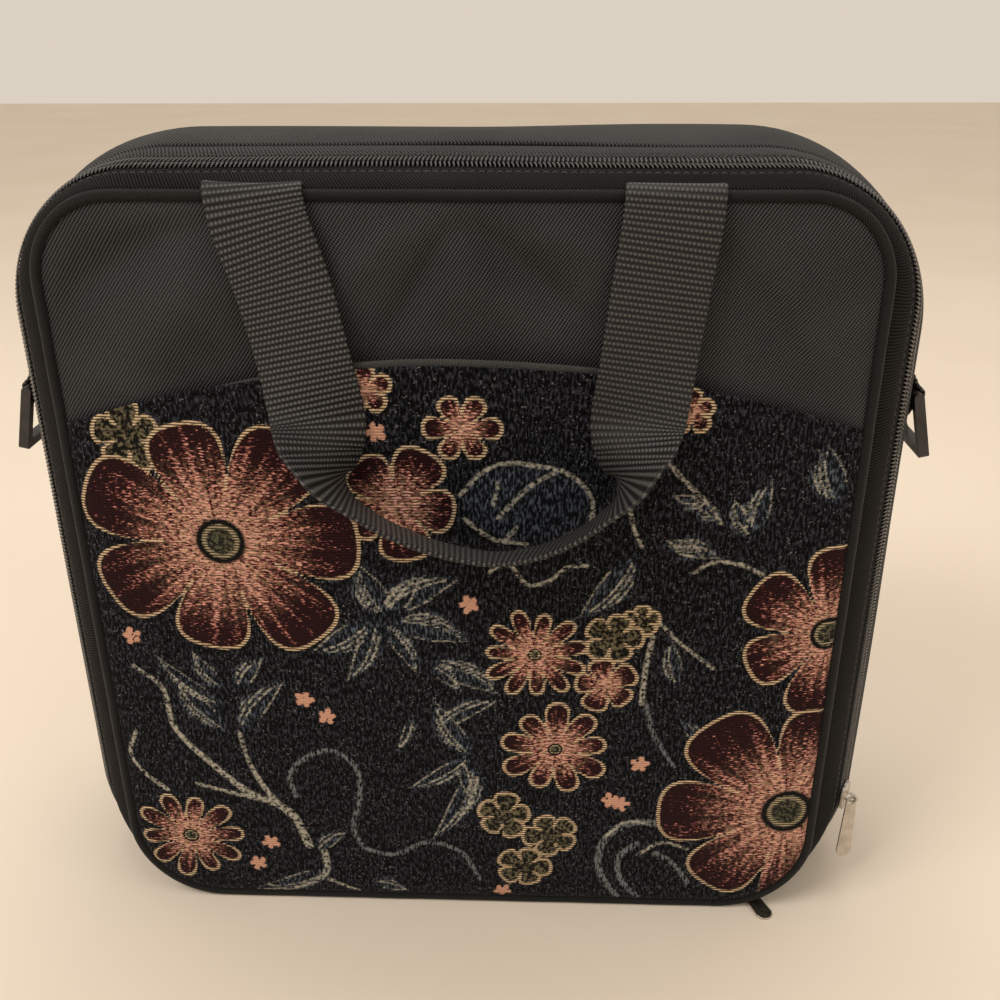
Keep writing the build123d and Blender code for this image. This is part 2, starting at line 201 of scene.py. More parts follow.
@dataclass(frozen=True)
class RibbedWebbing(Finish):
    """Polypropylene webbing: raised ribs across the strap, each a row of small loops."""

    dark: str
    light: str
    rib: float = 2.3
    loop: float = 1.7
    relief: float = 0.28

    def draw(self, tree: Any) -> Any:
        """Draws ribs along V and loops along U that shift by half a step from rib to rib.

        Both are sines, and a knob stands where the two are high. Real loops are about 1 mm wide. That is too
        fine to show, so they are drawn coarser.

        Args:
            tree: Node tree of the material.

        Returns:
            The shader.
        """
        # To the eye it is a flat braid of dull rows; the colour follows the height, with a painted highlight
        # on each small loop's top and painted shade at the roots.
        uv = add(tree, "UVMap", {}, uv_map="cloth")
        across, along = (add(tree, "SeparateXYZ", {"Vector": uv}, out=axis) for axis in (0, 1))
        loops, ribs = (
            add(tree, "Math", {0: way, 1: 1 / (step * MM)}, operation="MULTIPLY")
            for way, step in ((across, self.loop), (along, self.rib))
        )
        number = add(tree, "Math", {0: ribs}, operation="FLOOR")
        odd = add(tree, "Math", {0: number, 1: 2.0}, operation="FLOORED_MODULO")
        shifted = add(tree, "Math", {0: odd, 1: 0.5, 2: loops}, operation="MULTIPLY_ADD")
        waves = []
        for phase in (ribs, shifted):
            turn = add(tree, "Math", {0: phase, 1: 2 * np.pi}, operation="MULTIPLY")
            wave = add(tree, "Math", {0: turn}, operation="SINE")
            waves.append(add(tree, "MapRange", {"Value": wave, "From Min": -1.0}))
        place = add(tree, "Mapping", {"Vector": uv, "Scale": PER_MM})
        fuzz = add(tree, "TexNoise", {"Vector": place, "Scale": 1.4, "Detail": 3.0})
        height = add(tree, "Math", {0: waves[0], 1: waves[1]}, operation="MULTIPLY")
        for part, share in ((waves[0], 0.45), (fuzz, 0.5)):
            height = add(tree, "Math", {0: part, 1: share, 2: height}, operation="MULTIPLY_ADD")
        # Painted light: the tops of the ribs and loops are lighter and their roots darker.
        tone = add(tree, "MapRange", {"Value": height, "From Min": 0.5, "From Max": 1.5})
        shades = {"Color1": linear(self.dark), "Color2": linear(self.light)}
        bump = {"Height": height, "Distance": self.relief * MM, "Strength": 1.0}
        return add(
            tree,
            "BsdfPrincipled",
            {
                "Base Color": add(tree, "MixRGB", {"Fac": tone, **shades}),
                "Roughness": 0.55,
                "Normal": add(tree, "Bump", bump),
                "Specular IOR Level": 0.3,
                "Sheen Weight": 0.05,
                "Sheen Roughness": 0.4,
            },
        )


@dataclass(frozen=True)
class SmoothFinish(Finish):
    """A moulded, drawn, pressed or plated surface of one colour."""

    colour: str
    worn: str
    roughness: float
    metallic: float = 0.0
    grain: float = 1.2
    relief: float = 0.02

    def draw(self, tree: Any) -> Any:
        """Draws noise of the grain's size in object space, and slower noise for the tone.

        Args:
            tree: Node tree of the material.

        Returns:
            The shader.
        """
        # To the eye it is even, with a little change in tone and gloss that keeps it from looking new.
        place = add(tree, "TexCoord", {}, out="Object")
        rate = 1 / (self.grain * MM)
        noise, slow = (
            add(tree, "TexNoise", {"Vector": place, "Scale": rate * share, "Detail": detail})
            for share, detail in ((1.0, 4.0), (0.12, 2.0))
        )
        tone = add(tree, "MapRange", {"Value": slow, "From Min": 0.35, "From Max": 0.75})
        shades = {"Color1": linear(self.colour), "Color2": linear(self.worn)}
        worn = {"To Min": self.roughness * 0.8, "To Max": self.roughness * 1.25}
        bump = {"Height": noise, "Distance": self.relief * MM, "Strength": 0.6}
        return add(
            tree,
            "BsdfPrincipled",
            {
                "Base Color": add(tree, "MixRGB", {"Fac": tone, **shades}),
                "Roughness": add(tree, "MapRange", {"Value": noise, **worn}),
                "Metallic": self.metallic,
                "Normal": add(tree, "Bump", bump),
            },
        )


@dataclass(frozen=True)
class TapestryCloth(Finish):
    """Chenille jacquard: a velvety near-black ground with rose, gold and slate figures in weft floats."""

    name: str = "chenille_jacquard"
    pick: float = 1.3
    relief: float = 0.35

    def draw(self, tree: Any) -> Any:
        """Draws the figures from the fields on the mesh, broken up by pile and by rows of weft.

        A mask is 1 in a figure or on its line, and the floats of weft make its edge ragged. Petals shade by
        the share of the way out and by rays of noise round the eye. Real picks lie about 0.5 mm apart, too
        fine to show, so the picks, the pile and the floats are drawn coarser.

        Args:
            tree: Node tree of the material.

        Returns:
            The shader.
        """
        # To the eye the pile is soft and matt with grey specks, and the figures are flat rows of lit yarn.
        place = add(tree, "TexCoord", {}, out="Object")
        fields = {key: add(tree, "Attribute", {}, out="Fac", attribute_name=key) for key in FIELD_NAMES}
        angle = add(tree, "Math", {0: fields["bloom_z"], 1: fields["bloom_x"]}, operation="ARCTAN2")
        spokes = add(tree, "CombineXYZ", {"X": angle, "Y": fields["bloom_share"]})
        noises = {}
        for key, source, scale, detail in (
            ("pile", place, (950.0, 1.0, 330.0), 3.0),
            ("floats", place, (420.0, 1.0, 1500.0), 2.0),
            ("breaks", place, (360.0, 1.0, 1150.0), 1.0),
            ("flecks", place, (620.0, 620.0, 620.0), 2.0),
            ("grit", place, (900.0, 900.0, 900.0), 1.0),
            ("veins", spokes, (11.0, 0.9, 1.0), 1.0),
        ):
            scaled = add(tree, "Mapping", {"Vector": source, "Scale": scale})
            noises[key] = add(tree, "TexNoise", {"Vector": scaled, "Scale": 1.0, "Detail": detail})
        weft = {"Vector": place, "Scale": WAVE / (self.pick * MM), "Distortion": 0.6, "Detail": 1.0}
        rows = add(tree, "TexWave", weft, out=1, bands_direction="Z")
        jitter, swing = (
            add(tree, "Math", {0: noises[key], 1: 0.5}, operation="SUBTRACT") for key in ("floats", "veins")
        )
        shade = fields["bloom_share"]
        for part, share in ((swing, 1.3), (jitter, 2.4)):
            shade = add(tree, "Math", {0: part, 1: share, 2: shade}, operation="MULTIPLY_ADD")
        eye = add(tree, "Math", {0: jitter, 1: 0.25, 2: fields["bloom_eye"]}, operation="MULTIPLY_ADD")

        ranges = [
            ("dash", rows, 0.3, 0.62, 0.08, 1.0),
            ("dim", rows, 0.0, 1.0, 0.35, 0.0),
            ("pile", noises["pile"], 0.48, 0.68, 0.0, 1.0),
            ("worn", noises["pile"], 0.4, 0.56, 0.0, 1.0),
            ("speck", noises["grit"], 0.65, 0.76, 0.0, 0.55),
            ("fleck", noises["flecks"], 0.36, 0.6, 0.0, 1.0),
            ("gold", noises["flecks"], 0.46, 0.62, 0.0, 1.0),
            ("between", noises["breaks"], 0.47, 0.57, 0.0, 0.9),
            ("rose", shade, 0.2, 0.5, 0.0, 1.0),
            ("dusk", shade, 0.46, 0.58, 0.0, 1.0),
            ("inner", fields["bloom_share"], 0.2, 0.75, 0.4, 0.0),
            ("pale", fields["bloom_kind"], 0.3, 0.7, 0.0, 1.0),
            ("star", fields["bloom_kind"], 1.3, 1.7, 0.0, 1.0),
            ("edged", fields["bloom_kind"], 1.3, 1.7, 1.0, 0.0),
            ("eye_dark", eye, 0.95, 1.08, 1.0, 0.0),
            ("eye_ring", eye, 0.72, 0.8, 1.0, 0.0),
            ("eye_core", eye, 0.54, 0.62, 1.0, 0.0),
        ]
        for key, middle, soft, wobble in (
            ("bloom_gap", 0.0, 0.25, 2.2),
            ("bloom_edge", 0.8, 0.3, 1.6),
            ("leaf_gap", 0.0, 0.8, 3.0),
            ("leaf_line", 0.56, 0.3, 1.6),
            ("stem_line", 0.8, 0.4, 2.0),
            ("vine_line", 0.75, 0.5, 2.2),
        ):
            ragged = add(tree, "Math", {0: jitter, 1: wobble, 2: fields[key]}, operation="MULTIPLY_ADD")
            ranges.append((key, ragged, middle - soft, middle + soft, 1.0, 0.0))
        tones = {}
        for key, value, low, high, start, stop in ranges:
            limits = {"From Min": low, "From Max": high, "To Min": start, "To Max": stop}
            tones[key] = add(tree, "MapRange", {"Value": value, **limits})
        tones["rows"] = rows
        for key, first, second, operation in (
            ("lines", "leaf_line", "stem_line", "MAXIMUM"),
            ("lines", "lines", "fleck", "MULTIPLY"),
            ("vines", "vine_line", "worn", "MULTIPLY"),
            ("gilt", "inner", "gold", "MULTIPLY"),
            ("eye_ring", "eye_ring", "dash", "MULTIPLY"),
            ("rims", "bloom_edge", "dash", "MULTIPLY"),
            ("rims", "rims", "edged", "MULTIPLY"),
            ("flat", "rows", "bloom_gap", "MULTIPLY"),
        ):
            tones[key] = add(tree, "Math", {0: tones[first], 1: tones[second]}, operation=operation)

        colours = {}
        for key, tone, dark, light in (
            ("ground", "pile", "#010102", "#32333b"),
            ("slate", "pile", "#0a0c11", "#525965"),
            ("petal", "rose", "#e2ab98", "#aa5d57"),
            ("tufts", "gold", "#0f0d0b", "#675f49"),
            ("core", "gold", "#1d1d19", "#54523f"),
        ):
            shades = {"Color1": linear(dark), "Color2": linear(light)}
            colours[key] = add(tree, "MixRGB", {"Fac": tones[tone], **shades})
        for key, tone, top in (
            ("petal", "between", "#35120e"),
            ("petal", "dusk", "#190a0c"),
            ("petal", "dim", "#3d1517"),
            ("petal", "gilt", "#d3b08a"),
            ("petal", "pale", "tufts"),
            ("petal", "star", "#c4937c"),
            ("petal", "eye_dark", "#0c0b0b"),
            ("petal", "eye_ring", "#a8997a"),
            ("petal", "eye_core", "core"),
            ("ground", "speck", "#7c7c7d"),
            ("ground", "leaf_gap", "slate"),
            ("ground", "vines", "#6a6c6e"),
            ("ground", "lines", "#a29d8f"),
            ("ground", "bloom_gap", "petal"),
            ("ground", "rims", "#d9bd98"),
        ):
            over = linear(top) if top.startswith("#") else colours[top]
            colours[key] = add(tree, "MixRGB", {"Fac": tones[tone], "Color1": colours[key], "Color2": over})
        height = add(tree, "Math", {0: noises["pile"], 1: 1.6, 2: tones["flat"]}, operation="MULTIPLY_ADD")
        bump = {"Height": height, "Distance": self.relief * MM, "Strength": 0.9}
        return add(
            tree,
            "BsdfPrincipled",
            {
                "Base Color": colours["ground"],
                "Roughness": 0.85,
                "Normal": add(tree, "Bump", bump),
                "Specular IOR Level": 0.08,
                "Sheen Weight": 0.03,
                "Sheen Roughness": 0.5,
            },
        )


def make_piece(
    name: str,
    points: Array,
    faces: Sequence[Array],
    material: Material,
    uv: Optional[Array] = None,
    fields: Optional[dict[str, Array]] = None,
    closed: bool = True,
) -> Piece:
    """Turns arrays into a smooth mesh object at the origin.

    A closed shape whose signed volume is negative is turned inside out, so its faces point outwards.

    Args:
        name: Name of the piece.
        points: Corners in millimetres, three numbers each on the last axis.
        faces: Corner numbers, one array for each count of corners.
        material: Finish of the whole piece.
        uv: Place of each corner on the flat cloth, in millimetres.
        fields: Numbers per corner that the finish reads.
        closed: Whether the shape encloses a volume.

    Returns:
        The new object.
    """
    points = points.reshape(-1, 3)
    if closed:
        volume = 0.0
        for group in faces:
            for last in range(2, group.shape[1]):
                first, second, third = (points[group[:, i]] for i in (0, last - 1, last))
                volume += float(np.einsum("ij,ij->", first, np.cross(second, third)))
        if volume < 0:
            faces = [group[:, ::-1] for group in faces]
    corners = np.concatenate([group.ravel() for group in faces]).astype(np.int32)
    totals = np.concatenate([np.full(len(group), group.shape[1]) for group in faces])
    starts = np.concatenate([[0], np.cumsum(totals)[:-1]]).astype(np.int32)
    mesh = bpy.data.meshes.new(name)
    mesh.vertices.add(len(points))
    mesh.vertices.foreach_set("co", (points * MM).astype(np.float32).ravel())
    mesh.loops.add(len(corners))
    mesh.polygons.add(len(totals))
    mesh.polygons.foreach_set("loop_start", starts)
    mesh.polygons.foreach_set("vertices", corners)
    mesh.polygons.foreach_set("use_smooth", np.ones(len(totals), bool))
    mesh.update(calc_edges=True)
    mesh.validate()
    if uv is not None:
        flat = (uv * MM).reshape(-1, 2)[corners].astype(np.float32)
        mesh.uv_layers.new(name="cloth").data.foreach_set("uv", flat.ravel())
    for key, values in (fields or {}).items():
        attribute = mesh.attributes.new(key, "FLOAT", "POINT")
        attribute.data.foreach_set("value", values.astype(np.float32))
    mesh.materials.append(material)
    piece = bpy.data.objects.new(name, mesh)
    bpy.context.scene.collection.objects.link(piece)
    return piece


def seat(piece: Piece, body: str, slot: str, *nodes: str) -> Piece:
    """Lets a piece move with a body and stand for its CAD nodes.

    Args:
        piece: Finished piece.
        body: Body that carries it.
        slot: Material slot of the record. It is not used.
        *nodes: CAD nodes that it replaces.

    Returns:
        The same piece.
    """
    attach(piece, body)
    if nodes:
        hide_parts(*nodes)
    LOG.info("%s: %d faces on %s", piece.name, len(piece.data.polygons), body)
    return piece


def grid_faces(rows: int, columns: int, wrap: bool = False, loop: bool = False) -> Array:
    """Quads of a grid of corners that is numbered row by row.

    Args:
        rows: Number of rows of corners.
        columns: Number of corners in a row.
        wrap: Whether the last row joins the first.
        loop: Whether the last corner of a row joins the first.

    Returns:
        Corner numbers, four to a face.
    """
    row = np.arange(rows if wrap else rows - 1)[:, None]
    column = np.arange(columns if loop else columns - 1)
    beside = (column + 1) % columns
    here, above = row * columns, (row + 1) % rows * columns
    return np.stack([here + column, here + beside, above + beside, above + column], -1).reshape(-1, 4)


def band_faces(rows: int, columns: int) -> list[Array]:
    """Faces of a closed cross-section, one row per corner of it, carried along a path with two ends.

    Args:
        rows: Number of corners in the cross-section.
        columns: Number of places along the path.

    Returns:
        Quads of the sides, then the face at each end.
    """
    ends = np.arange(rows) * columns
    return [grid_faces(rows, columns, wrap=True), ends[None, :], (ends + columns - 1)[None, ::-1]]


def tube_faces(count: int, rings: int, sides: int) -> list[Array]:
    """Faces of many like tubes, whose corners are numbered tube by tube and ring by ring.

    Args:
        count: Number of tubes.
        rings: Number of rings along a tube.
        sides: Number of corners in a ring.

    Returns:
        Quads of all the walls, then the faces at all the ends.
    """
    first = np.arange(count)[:, None] * rings * sides
    side = np.arange(sides)
    walls = (first[:, :, None] + grid_faces(rings, sides, loop=True)).reshape(-1, 4)
    return [walls, np.concatenate([first + side[::-1], first + (rings - 1) * sides + side])]


def shell(front: Array, back: Array, step: int = 4) -> tuple[Array, list[Array]]:
    """A sheet with two sides: a fine front, a back with every step-th corner, and the rim between.

    Args:
        front: Grid of points, whose rows and columns are one more than a multiple of step.
        back: The same grid on the other side.
        step: How many front faces meet one back face along an edge.

    Returns:
        The points, and front quads, back quads and the many-cornered faces of the rim.
    """
    rows, columns = front.shape[:2]
    coarse = back[::step, ::step]
    back_rows, back_columns = coarse.shape[:2]
    near = np.arange(rows * columns).reshape(rows, columns)
    far = rows * columns + np.arange(back_rows * back_columns).reshape(back_rows, back_columns)
    spread = np.arange(step + 1)
    rim = []
    for outer, inner in (
        (near[0, ::-1], far[0, ::-1]),
        (near[-1], far[-1]),
        (near[:, 0], far[:, 0]),
        (near[::-1, -1], far[::-1, -1]),
    ):
        first = np.arange(len(inner) - 1)
        run = outer[first[:, None] * step + spread]
        rim.append(np.column_stack([run, inner[first + 1], inner[first]]))
    points = np.concatenate([front.reshape(-1, 3), coarse.reshape(-1, 3)])
    back_quads = (grid_faces(back_rows, back_columns) + rows * columns)[:, ::-1]
    return points, [grid_faces(rows, columns), back_quads, np.concatenate(rim)]


def ease(value: Array, start: float, stop: float) -> Array:
    """Smooth step from 0 at start to 1 at stop."""
    share = np.clip((value - start) / (stop - start), 0, 1)
    return share * share * (3 - 2 * share)


def run_along(points: Array) -> Array:
    """Length along a row of points, from 0 at the first."""
    return np.concatenate([[0], np.cumsum(np.linalg.norm(np.diff(points, axis=0), axis=1))])


def smooth_path(rows: Array, spacing: float) -> tuple[Array, Array]:
    """Curve through the given rows: cubic Hermite pieces with chord-length slopes, at even spacing.

    Args:
        rows: Stations, whose first three columns are a place and the others go with it.
        spacing: Distance between the samples.

    Returns:
        The sampled rows and the length along the curve at each.
    """
    chord = run_along(rows[:, :3])
    slope = np.gradient(rows, chord, axis=0)
    fine = np.linspace(0, chord[-1], 40 * len(rows))
    span = np.clip(np.searchsorted(chord, fine, side="right") - 1, 0, len(rows) - 2)
    length = (chord[span + 1] - chord[span])[:, None]
    share = ((fine - chord[span])[:, None]) / length
    curve = (
        (2 * share**3 - 3 * share**2 + 1) * rows[span]
        + (share**3 - 2 * share**2 + share) * length * slope[span]
        + (3 * share**2 - 2 * share**3) * rows[span + 1]
        + (share**3 - share**2) * length * slope[span + 1]
    )
    run = run_along(curve[:, :3])
    even = np.linspace(0, run[-1], int(run[-1] / spacing) + 1)
    return np.stack([np.interp(even, run, column) for column in curve.T], 1), even


@dataclass(frozen=True)
class BagForm:
    """The bag's skin: rounded outlines, one for each depth, that swell from the piping to the belly."""

    panel_half: float = 165.0
    panel_top: float = 348.5
    depth: float = 145.0
    piping: float = 5.0
    belly_side: float = 32.0
    belly_top: float = 16.5
    crest: float = 4.0
    shoulder: float = 45.0
    edge: float = 5.4
    base_tuck: float = 9.0
    panel_top_radius: float = 31.5
    panel_base_radius: float = 40.0
    belly_top_radius: float = 78.0
    belly_base_radius: float = 48.0
    base_half: float = 105.0
    zip_front: float = 21.2
    zip_rear: float = 28.8
    stray: float = 3.2
    counts: tuple = (10, 18, 80, 26, 56)

    def swell(self, depth: Array, power: float) -> Array:
        """Share of the belly at a depth: a superellipse shoulder at the front and the back.

        Args:
            depth: Depth behind the front.
            power: Exponent of the superellipse.

        Returns:
            Shares from 0 at the piping to 1 on the belly.
        """
        run = np.minimum(depth, self.depth - depth) - self.edge
        share = np.clip(run / (self.shoulder - self.edge), 0, 1)
        return (1 - (1 - share) ** power) ** (1 / power)

    def section(self, depth: Array) -> tuple[Array, Array, Array, Array, Array]:
        """Outline of the skin at each depth: each size goes from the seam's to the belly's with the swell.

        The low edge lifts evenly to a tuck at the zip, and the top adds a parabola between the shoulders.

        Args:
            depth: Depth behind the front.

        Returns:
            Half width, low edge, top edge, top radius and base radius.
        """
        side = self.swell(depth, 1.3)
        top = self.swell(depth, 1.15)
        middle = (depth - self.depth / 2) / (self.depth / 2 - self.shoulder)
        rise = (depth - self.edge) / (self.zip_front - self.edge)
        fall = (self.shoulder - depth) / (self.shoulder - self.zip_rear)
        crest = self.crest * np.clip(1 - middle**2, 0, 1)
        seam_top = self.panel_top_radius + self.piping
        seam_base = self.panel_base_radius + self.piping
        return (
            self.panel_half + self.piping + (self.belly_side - self.piping) * side,
            self.base_tuck * np.clip(np.minimum(rise, fall), 0, 1),
            self.panel_top + self.piping + (self.belly_top - self.piping) * top + crest,
            seam_top + (self.belly_top_radius - seam_top) * top,
            seam_base + (self.belly_base_radius - seam_base) * side,
        )

    def places(self, fineness: int = 1) -> Array:
        """Places round the outline: bottom, corner, side, corner and top, then back down the left.

        Args:
            fineness: How many times as many places as the counts say.

        Returns:
            Numbers from 0 to 10.
        """
        parts = [
            i + np.linspace(0, 1, fineness * count, endpoint=False) for i, count in enumerate(self.counts)
        ]
        right = np.concatenate(parts)
        return np.concatenate([right, [5.0], 10 - right[::-1]])

    def wander(self, depth: Array, place: Array) -> Array:
        """How far the soft top strays forward or back round the zip: a slow sine that fades at the corners.

        Args:
            depth: Depth behind the front.
            place: Place round the outline, from 0 to 10.

        Returns:
            Distances towards the back.
        """
        top = ease(place, 3.5, 4.3) * (1 - ease(place, 5.7, 6.5))
        near = ease(depth, 7, 19) * (1 - ease(depth, 48, 75))
        return self.stray * top * near * np.sin((place - 5) * 3.1 + 0.9)

    def skin(self, depth: Array, place: Array, proud: Array) -> Array:
        """Points of the skin: the centre of each corner or side, plus its radius along the outward direction.

        Args:
            depth: Depth behind the front.
            place: Place round the outline, from 0 to 10.
            proud: Height above the skin.

        Returns:
            Points, with a last axis of three; none lies under the floor.
        """
        depth, place, proud = np.broadcast_arrays(depth, place, proud)
        half, low, top, top_radius, base_radius = self.section(depth)
        mirror = np.where(place > 5, -1.0, 1.0)
        right = np.where(place > 5, 10 - place, place)
        part = np.clip(right.astype(int), 0, 4)
        share = right - part
        which = [part == i for i in range(5)]
        angle = np.pi / 2 * np.select(which, [-1.0, share - 1, 0.0, share, 1.0])
        reach = np.where(part < 3, base_radius, top_radius) + proud
        inner, upper = half - base_radius, half - top_radius
        foot, head = low + base_radius, top - top_radius
        base = self.base_half + (inner - self.base_half) * share
        x = np.select(which, [base, inner, inner, upper, upper * (1 - share)])
        z = np.select(which, [foot, foot, foot + (head - foot) * share, head, head])
        return np.stack(
            [
                mirror * (x + reach * np.cos(angle)),
                depth - self.depth / 2 + self.wander(depth, place),
                np.maximum(z + reach * np.sin(angle), FLOOR_GAP),
            ],
            -1,
        )

    def inside(self, x: Array, z: Array) -> Array:
        """Distance in from the panel's outline: a box with rounded corners, larger ones at the base.

        Args:
            x: Places across the panel.
            z: Places up the panel.

        Returns:
            Distances, negative outside.
        """
        middle = (self.piping + self.panel_top) / 2
        radius = np.where(z < middle, self.panel_base_radius, self.panel_top_radius)
        out_x = np.abs(x) - self.panel_half + radius
        out_z = np.abs(z - middle) - (self.panel_top - self.piping) / 2 + radius
        corner = np.hypot(np.maximum(out_x, 0), np.maximum(out_z, 0))
        return radius - corner - np.minimum(np.maximum(out_x, out_z), 0)

    def half_width(self, z: Array, grow: float) -> Array:
        """Half width of the panel at a height, drawn in by quarter circles at the corners.

        Args:
            z: Places up the panel.
            grow: Margin that is added all round.

        Returns:
            The half widths.
        """
        base, top = self.panel_base_radius + grow, self.panel_top_radius + grow
        down = np.clip(self.piping + self.panel_base_radius - z, 0, base)
        up = np.clip(z - self.panel_top + self.panel_top_radius, 0, top)
        inset = base - np.sqrt(base**2 - down**2) + top - np.sqrt(top**2 - up**2)
        return self.panel_half + grow - inset


FORM = BagForm()


@dataclass
class ClothBand:
    """A strip of cloth that runs round the bag between two depths, with rounded edges."""

    name: str
    node: str
    body: str
    slot: str
    start: float
    stop: float
    thickness: float
    proud: float
    pillow: float = 0.0
    groove: Optional[float] = None
    ripple: float = 0.0
    count: int = 24
    dive: Optional[tuple[float, float]] = None
    seam: Optional[float] = None
    hem: float = 0.5
    groove_depth: float = 0.4
    groove_width: float = 0.7

    def profile(self) -> tuple[Array, Array]:
        """Closed cross-section: the outer side with quarter rounds at both edges, then the inner side back.

        Where a seam is given, a thin hem goes on from the inner side until it is inside the piping.

        Returns:
            Depth and height above the skin of each point.
        """
        share = 0.5 - 0.5 * np.cos(np.pi * np.linspace(0, 1, self.count))
        depth = self.start + (self.stop - self.start) * share
        to_edge = np.minimum(depth - self.start, self.stop - depth)
        soft = self.thickness * 0.5
        under = self.proud - self.thickness
        lean = np.clip(1 - to_edge / soft, 0, 1)
        outer = self.proud + self.pillow * np.sin(np.pi * share) - soft * (1 - np.sqrt(1 - lean**2))
        if self.groove is not None:
            outer -= self.groove_depth * np.exp(-(((depth - self.groove) / self.groove_width) ** 2))
        inner_depth, inner_lean = depth[::-2], lean[::-2]
        if self.seam is not None:
            middle = (self.start + self.stop) / 2
            inner_lean = np.where((inner_depth < middle) == (self.seam < middle), 0.0, inner_lean)
        inner = under + soft * (1 - np.sqrt(1 - inner_lean**2))
        depth, height = np.concatenate([depth, inner_depth]), np.concatenate([outer, inner])
        if self.seam is not None:
            first = self.seam < self.start
            where = len(depth) if first else self.count
            levels = (under, under + self.hem) if first else (under + self.hem, under)
            depth = np.insert(depth, where, (self.seam, self.seam))
            height = np.insert(height, where, levels)
        if self.dive is not None:
            height = height - ease(depth, *self.dive)
        return depth, height

    def build(self, material: Material) -> Piece:
        """Carries the cross-section round the outline, with two slow sines that fade out at the base.

        Args:
            material: Finish of the cloth.

        Returns:
            The seated piece.
        """
        depth, proud = (values[:, None] for values in self.profile())
        place = FORM.places()
        slow = np.sin(place * 2.3 + depth / 17) + 0.7 * np.sin(place * 5.1 - depth / 9 + 1.0)
        lift = np.minimum(np.minimum(place, 10 - place) / 2, 1)
        points = FORM.skin(depth, place, proud + self.ripple * slow * lift)
        run = run_along(points[self.count // 2])
        uv = np.stack(np.broadcast_arrays(run, depth), -1)
        piece = make_piece(self.name, points, band_faces(*points.shape[:2]), material, uv)
        width = np.linalg.norm(np.diff(points[: self.count], axis=0), axis=2).sum(0).mean()
        if self.seam is not None:
            width += min(abs(self.seam - self.start), abs(self.seam - self.stop))
        return seat(piece, self.body, self.slot, self.node)


@dataclass
class ZipChain:
    """One row of coil teeth: a slanted arch of round filament at every step along the zip."""

    name: str
    node: str
    body: str
    outer: float
    inner: float
    offset: float
    step: float = 1.8
    filament: float = 0.56
    slant: float = 0.9
    arch: float = 0.6
    rings: int = 6
    sides: int = 6

    def build(self, material: Material) -> Piece:
        """Sets one bent tube per step: its depth goes from the ribbon to the middle, its height is a sine.

        Args:
            material: Finish of the filament.

        Returns:
            The seated piece.
        """
        place = FORM.places(2)
        run = run_along(FORM.skin((self.outer + self.inner) / 2, place, 0.0))
        start = np.arange(self.step, run[-1] - self.step, self.step) + self.offset * self.step
        share = np.linspace(0, 1, self.rings)[:, None]
        turn = np.linspace(0, 2 * np.pi, self.sides, endpoint=False)
        radius = self.filament * np.where((share == 0) | (share == 1), 0.55, 1.0)
        along = start[:, None, None] + self.slant * (share - 0.5) + radius * np.cos(turn)
        depth = self.outer + (self.inner - self.outer) * share
        height = 0.05 + self.arch * np.sin(np.pi * (0.12 + 0.88 * share)) + 0.8 * radius * np.sin(turn)
        points = FORM.skin(depth, np.interp(along, run, place), height)
        faces = tube_faces(len(start), self.rings, self.sides)
        return seat(make_piece(self.name, points, faces, material), self.body, "zip_coil", self.node)


@dataclass
class StitchRow:
    """A row of lockstitches sunk into the cloth beside a folded edge."""

    name: str
    body: str
    depth: float
    proud: float
    pitch: float = 3.6
    length: float = 2.7
    thread: float = 0.28
    rings: int = 4
    sides: int = 5

    def build(self, material: Material) -> Piece:
        """Lays one short tube per stitch along the outline, with a sine arch whose ends dip into the cloth.

        Args:
            material: Finish of the thread.

        Returns:
            The seated piece.
        """
        place = FORM.places(2)
        run = run_along(FORM.skin(self.depth, place, 0.0))
        start = np.arange(self.pitch, run[-1] - self.pitch, self.pitch)
        share = np.linspace(0, 1, self.rings)[:, None]
        turn = np.linspace(0, 2 * np.pi, self.sides, endpoint=False)
        along = start[:, None, None] + self.length * share
        depth = self.depth + self.thread * np.cos(turn)
        height = self.proud + 0.4 * np.sin(np.pi * share) - 0.25 + self.thread * np.sin(turn)
        points = FORM.skin(depth, np.interp(along, run, place), height)
        faces = tube_faces(len(start), self.rings, self.sides)
        return seat(make_piece(self.name, points, faces, material), self.body, "polyester")


@dataclass
class Piping:
    """Cloth-covered cord sewn in round the edge of a panel."""

    name: str
    node: str
    body: str
    depth: float
    radius: float = 2.5
    sides: int = 14
    stations: int = 560

    def build(self, material: Material) -> Piece:
        """Carries a circle round the panel's outline; the cover's tension makes the radius vary slightly.

        Args:
            material: Finish of the cover.

        Returns:
            The seated piece.
        """
        half, low, top = FORM.panel_half + self.radius, self.radius, FORM.panel_top + self.radius
        base, crown = FORM.panel_base_radius + self.radius, FORM.panel_top_radius + self.radius
        square = np.pi / 2
        quarter = np.linspace(0, square, 24, endpoint=False)
        corners = []
        for x, z, radius, turn in (
            (half - base, low + base, base, -square),
            (half - crown, top - crown, crown, 0.0),
            (crown - half, top - crown, crown, square),
            (base - half, low + base, base, 2 * square),
        ):
            out = np.stack([np.cos(quarter + turn), np.sin(quarter + turn)], 1)
            corners.append(np.column_stack([(x, z) + radius * out, out]))
        closed = np.concatenate([*corners, corners[0][:1]])
        chord = run_along(closed[:, :2])
        run = np.linspace(0, chord[-1], self.stations, endpoint=False)
        x, z, out_x, out_z = (np.interp(run, chord, column) for column in closed.T)
        turn = np.linspace(0, 2 * np.pi, self.sides, endpoint=False)[:, None]
        radius = self.radius * (0.97 + 0.03 * np.sin(run / 7.3) * np.sin(run / 23.0 + turn))
        away = radius * np.cos(turn)
        y = self.depth - FORM.depth / 2 + radius * np.sin(turn)
        points = np.stack([x + out_x * away, y, np.maximum(z + out_z * away, FLOOR_GAP)], -1)
        faces = grid_faces(self.sides, self.stations, wrap=True, loop=True)
        uv = np.stack(np.broadcast_arrays(run, turn * self.radius), -1)
        piece = make_piece(self.name, points, [faces], material, uv)
        return seat(piece, self.body, "piping", self.node)


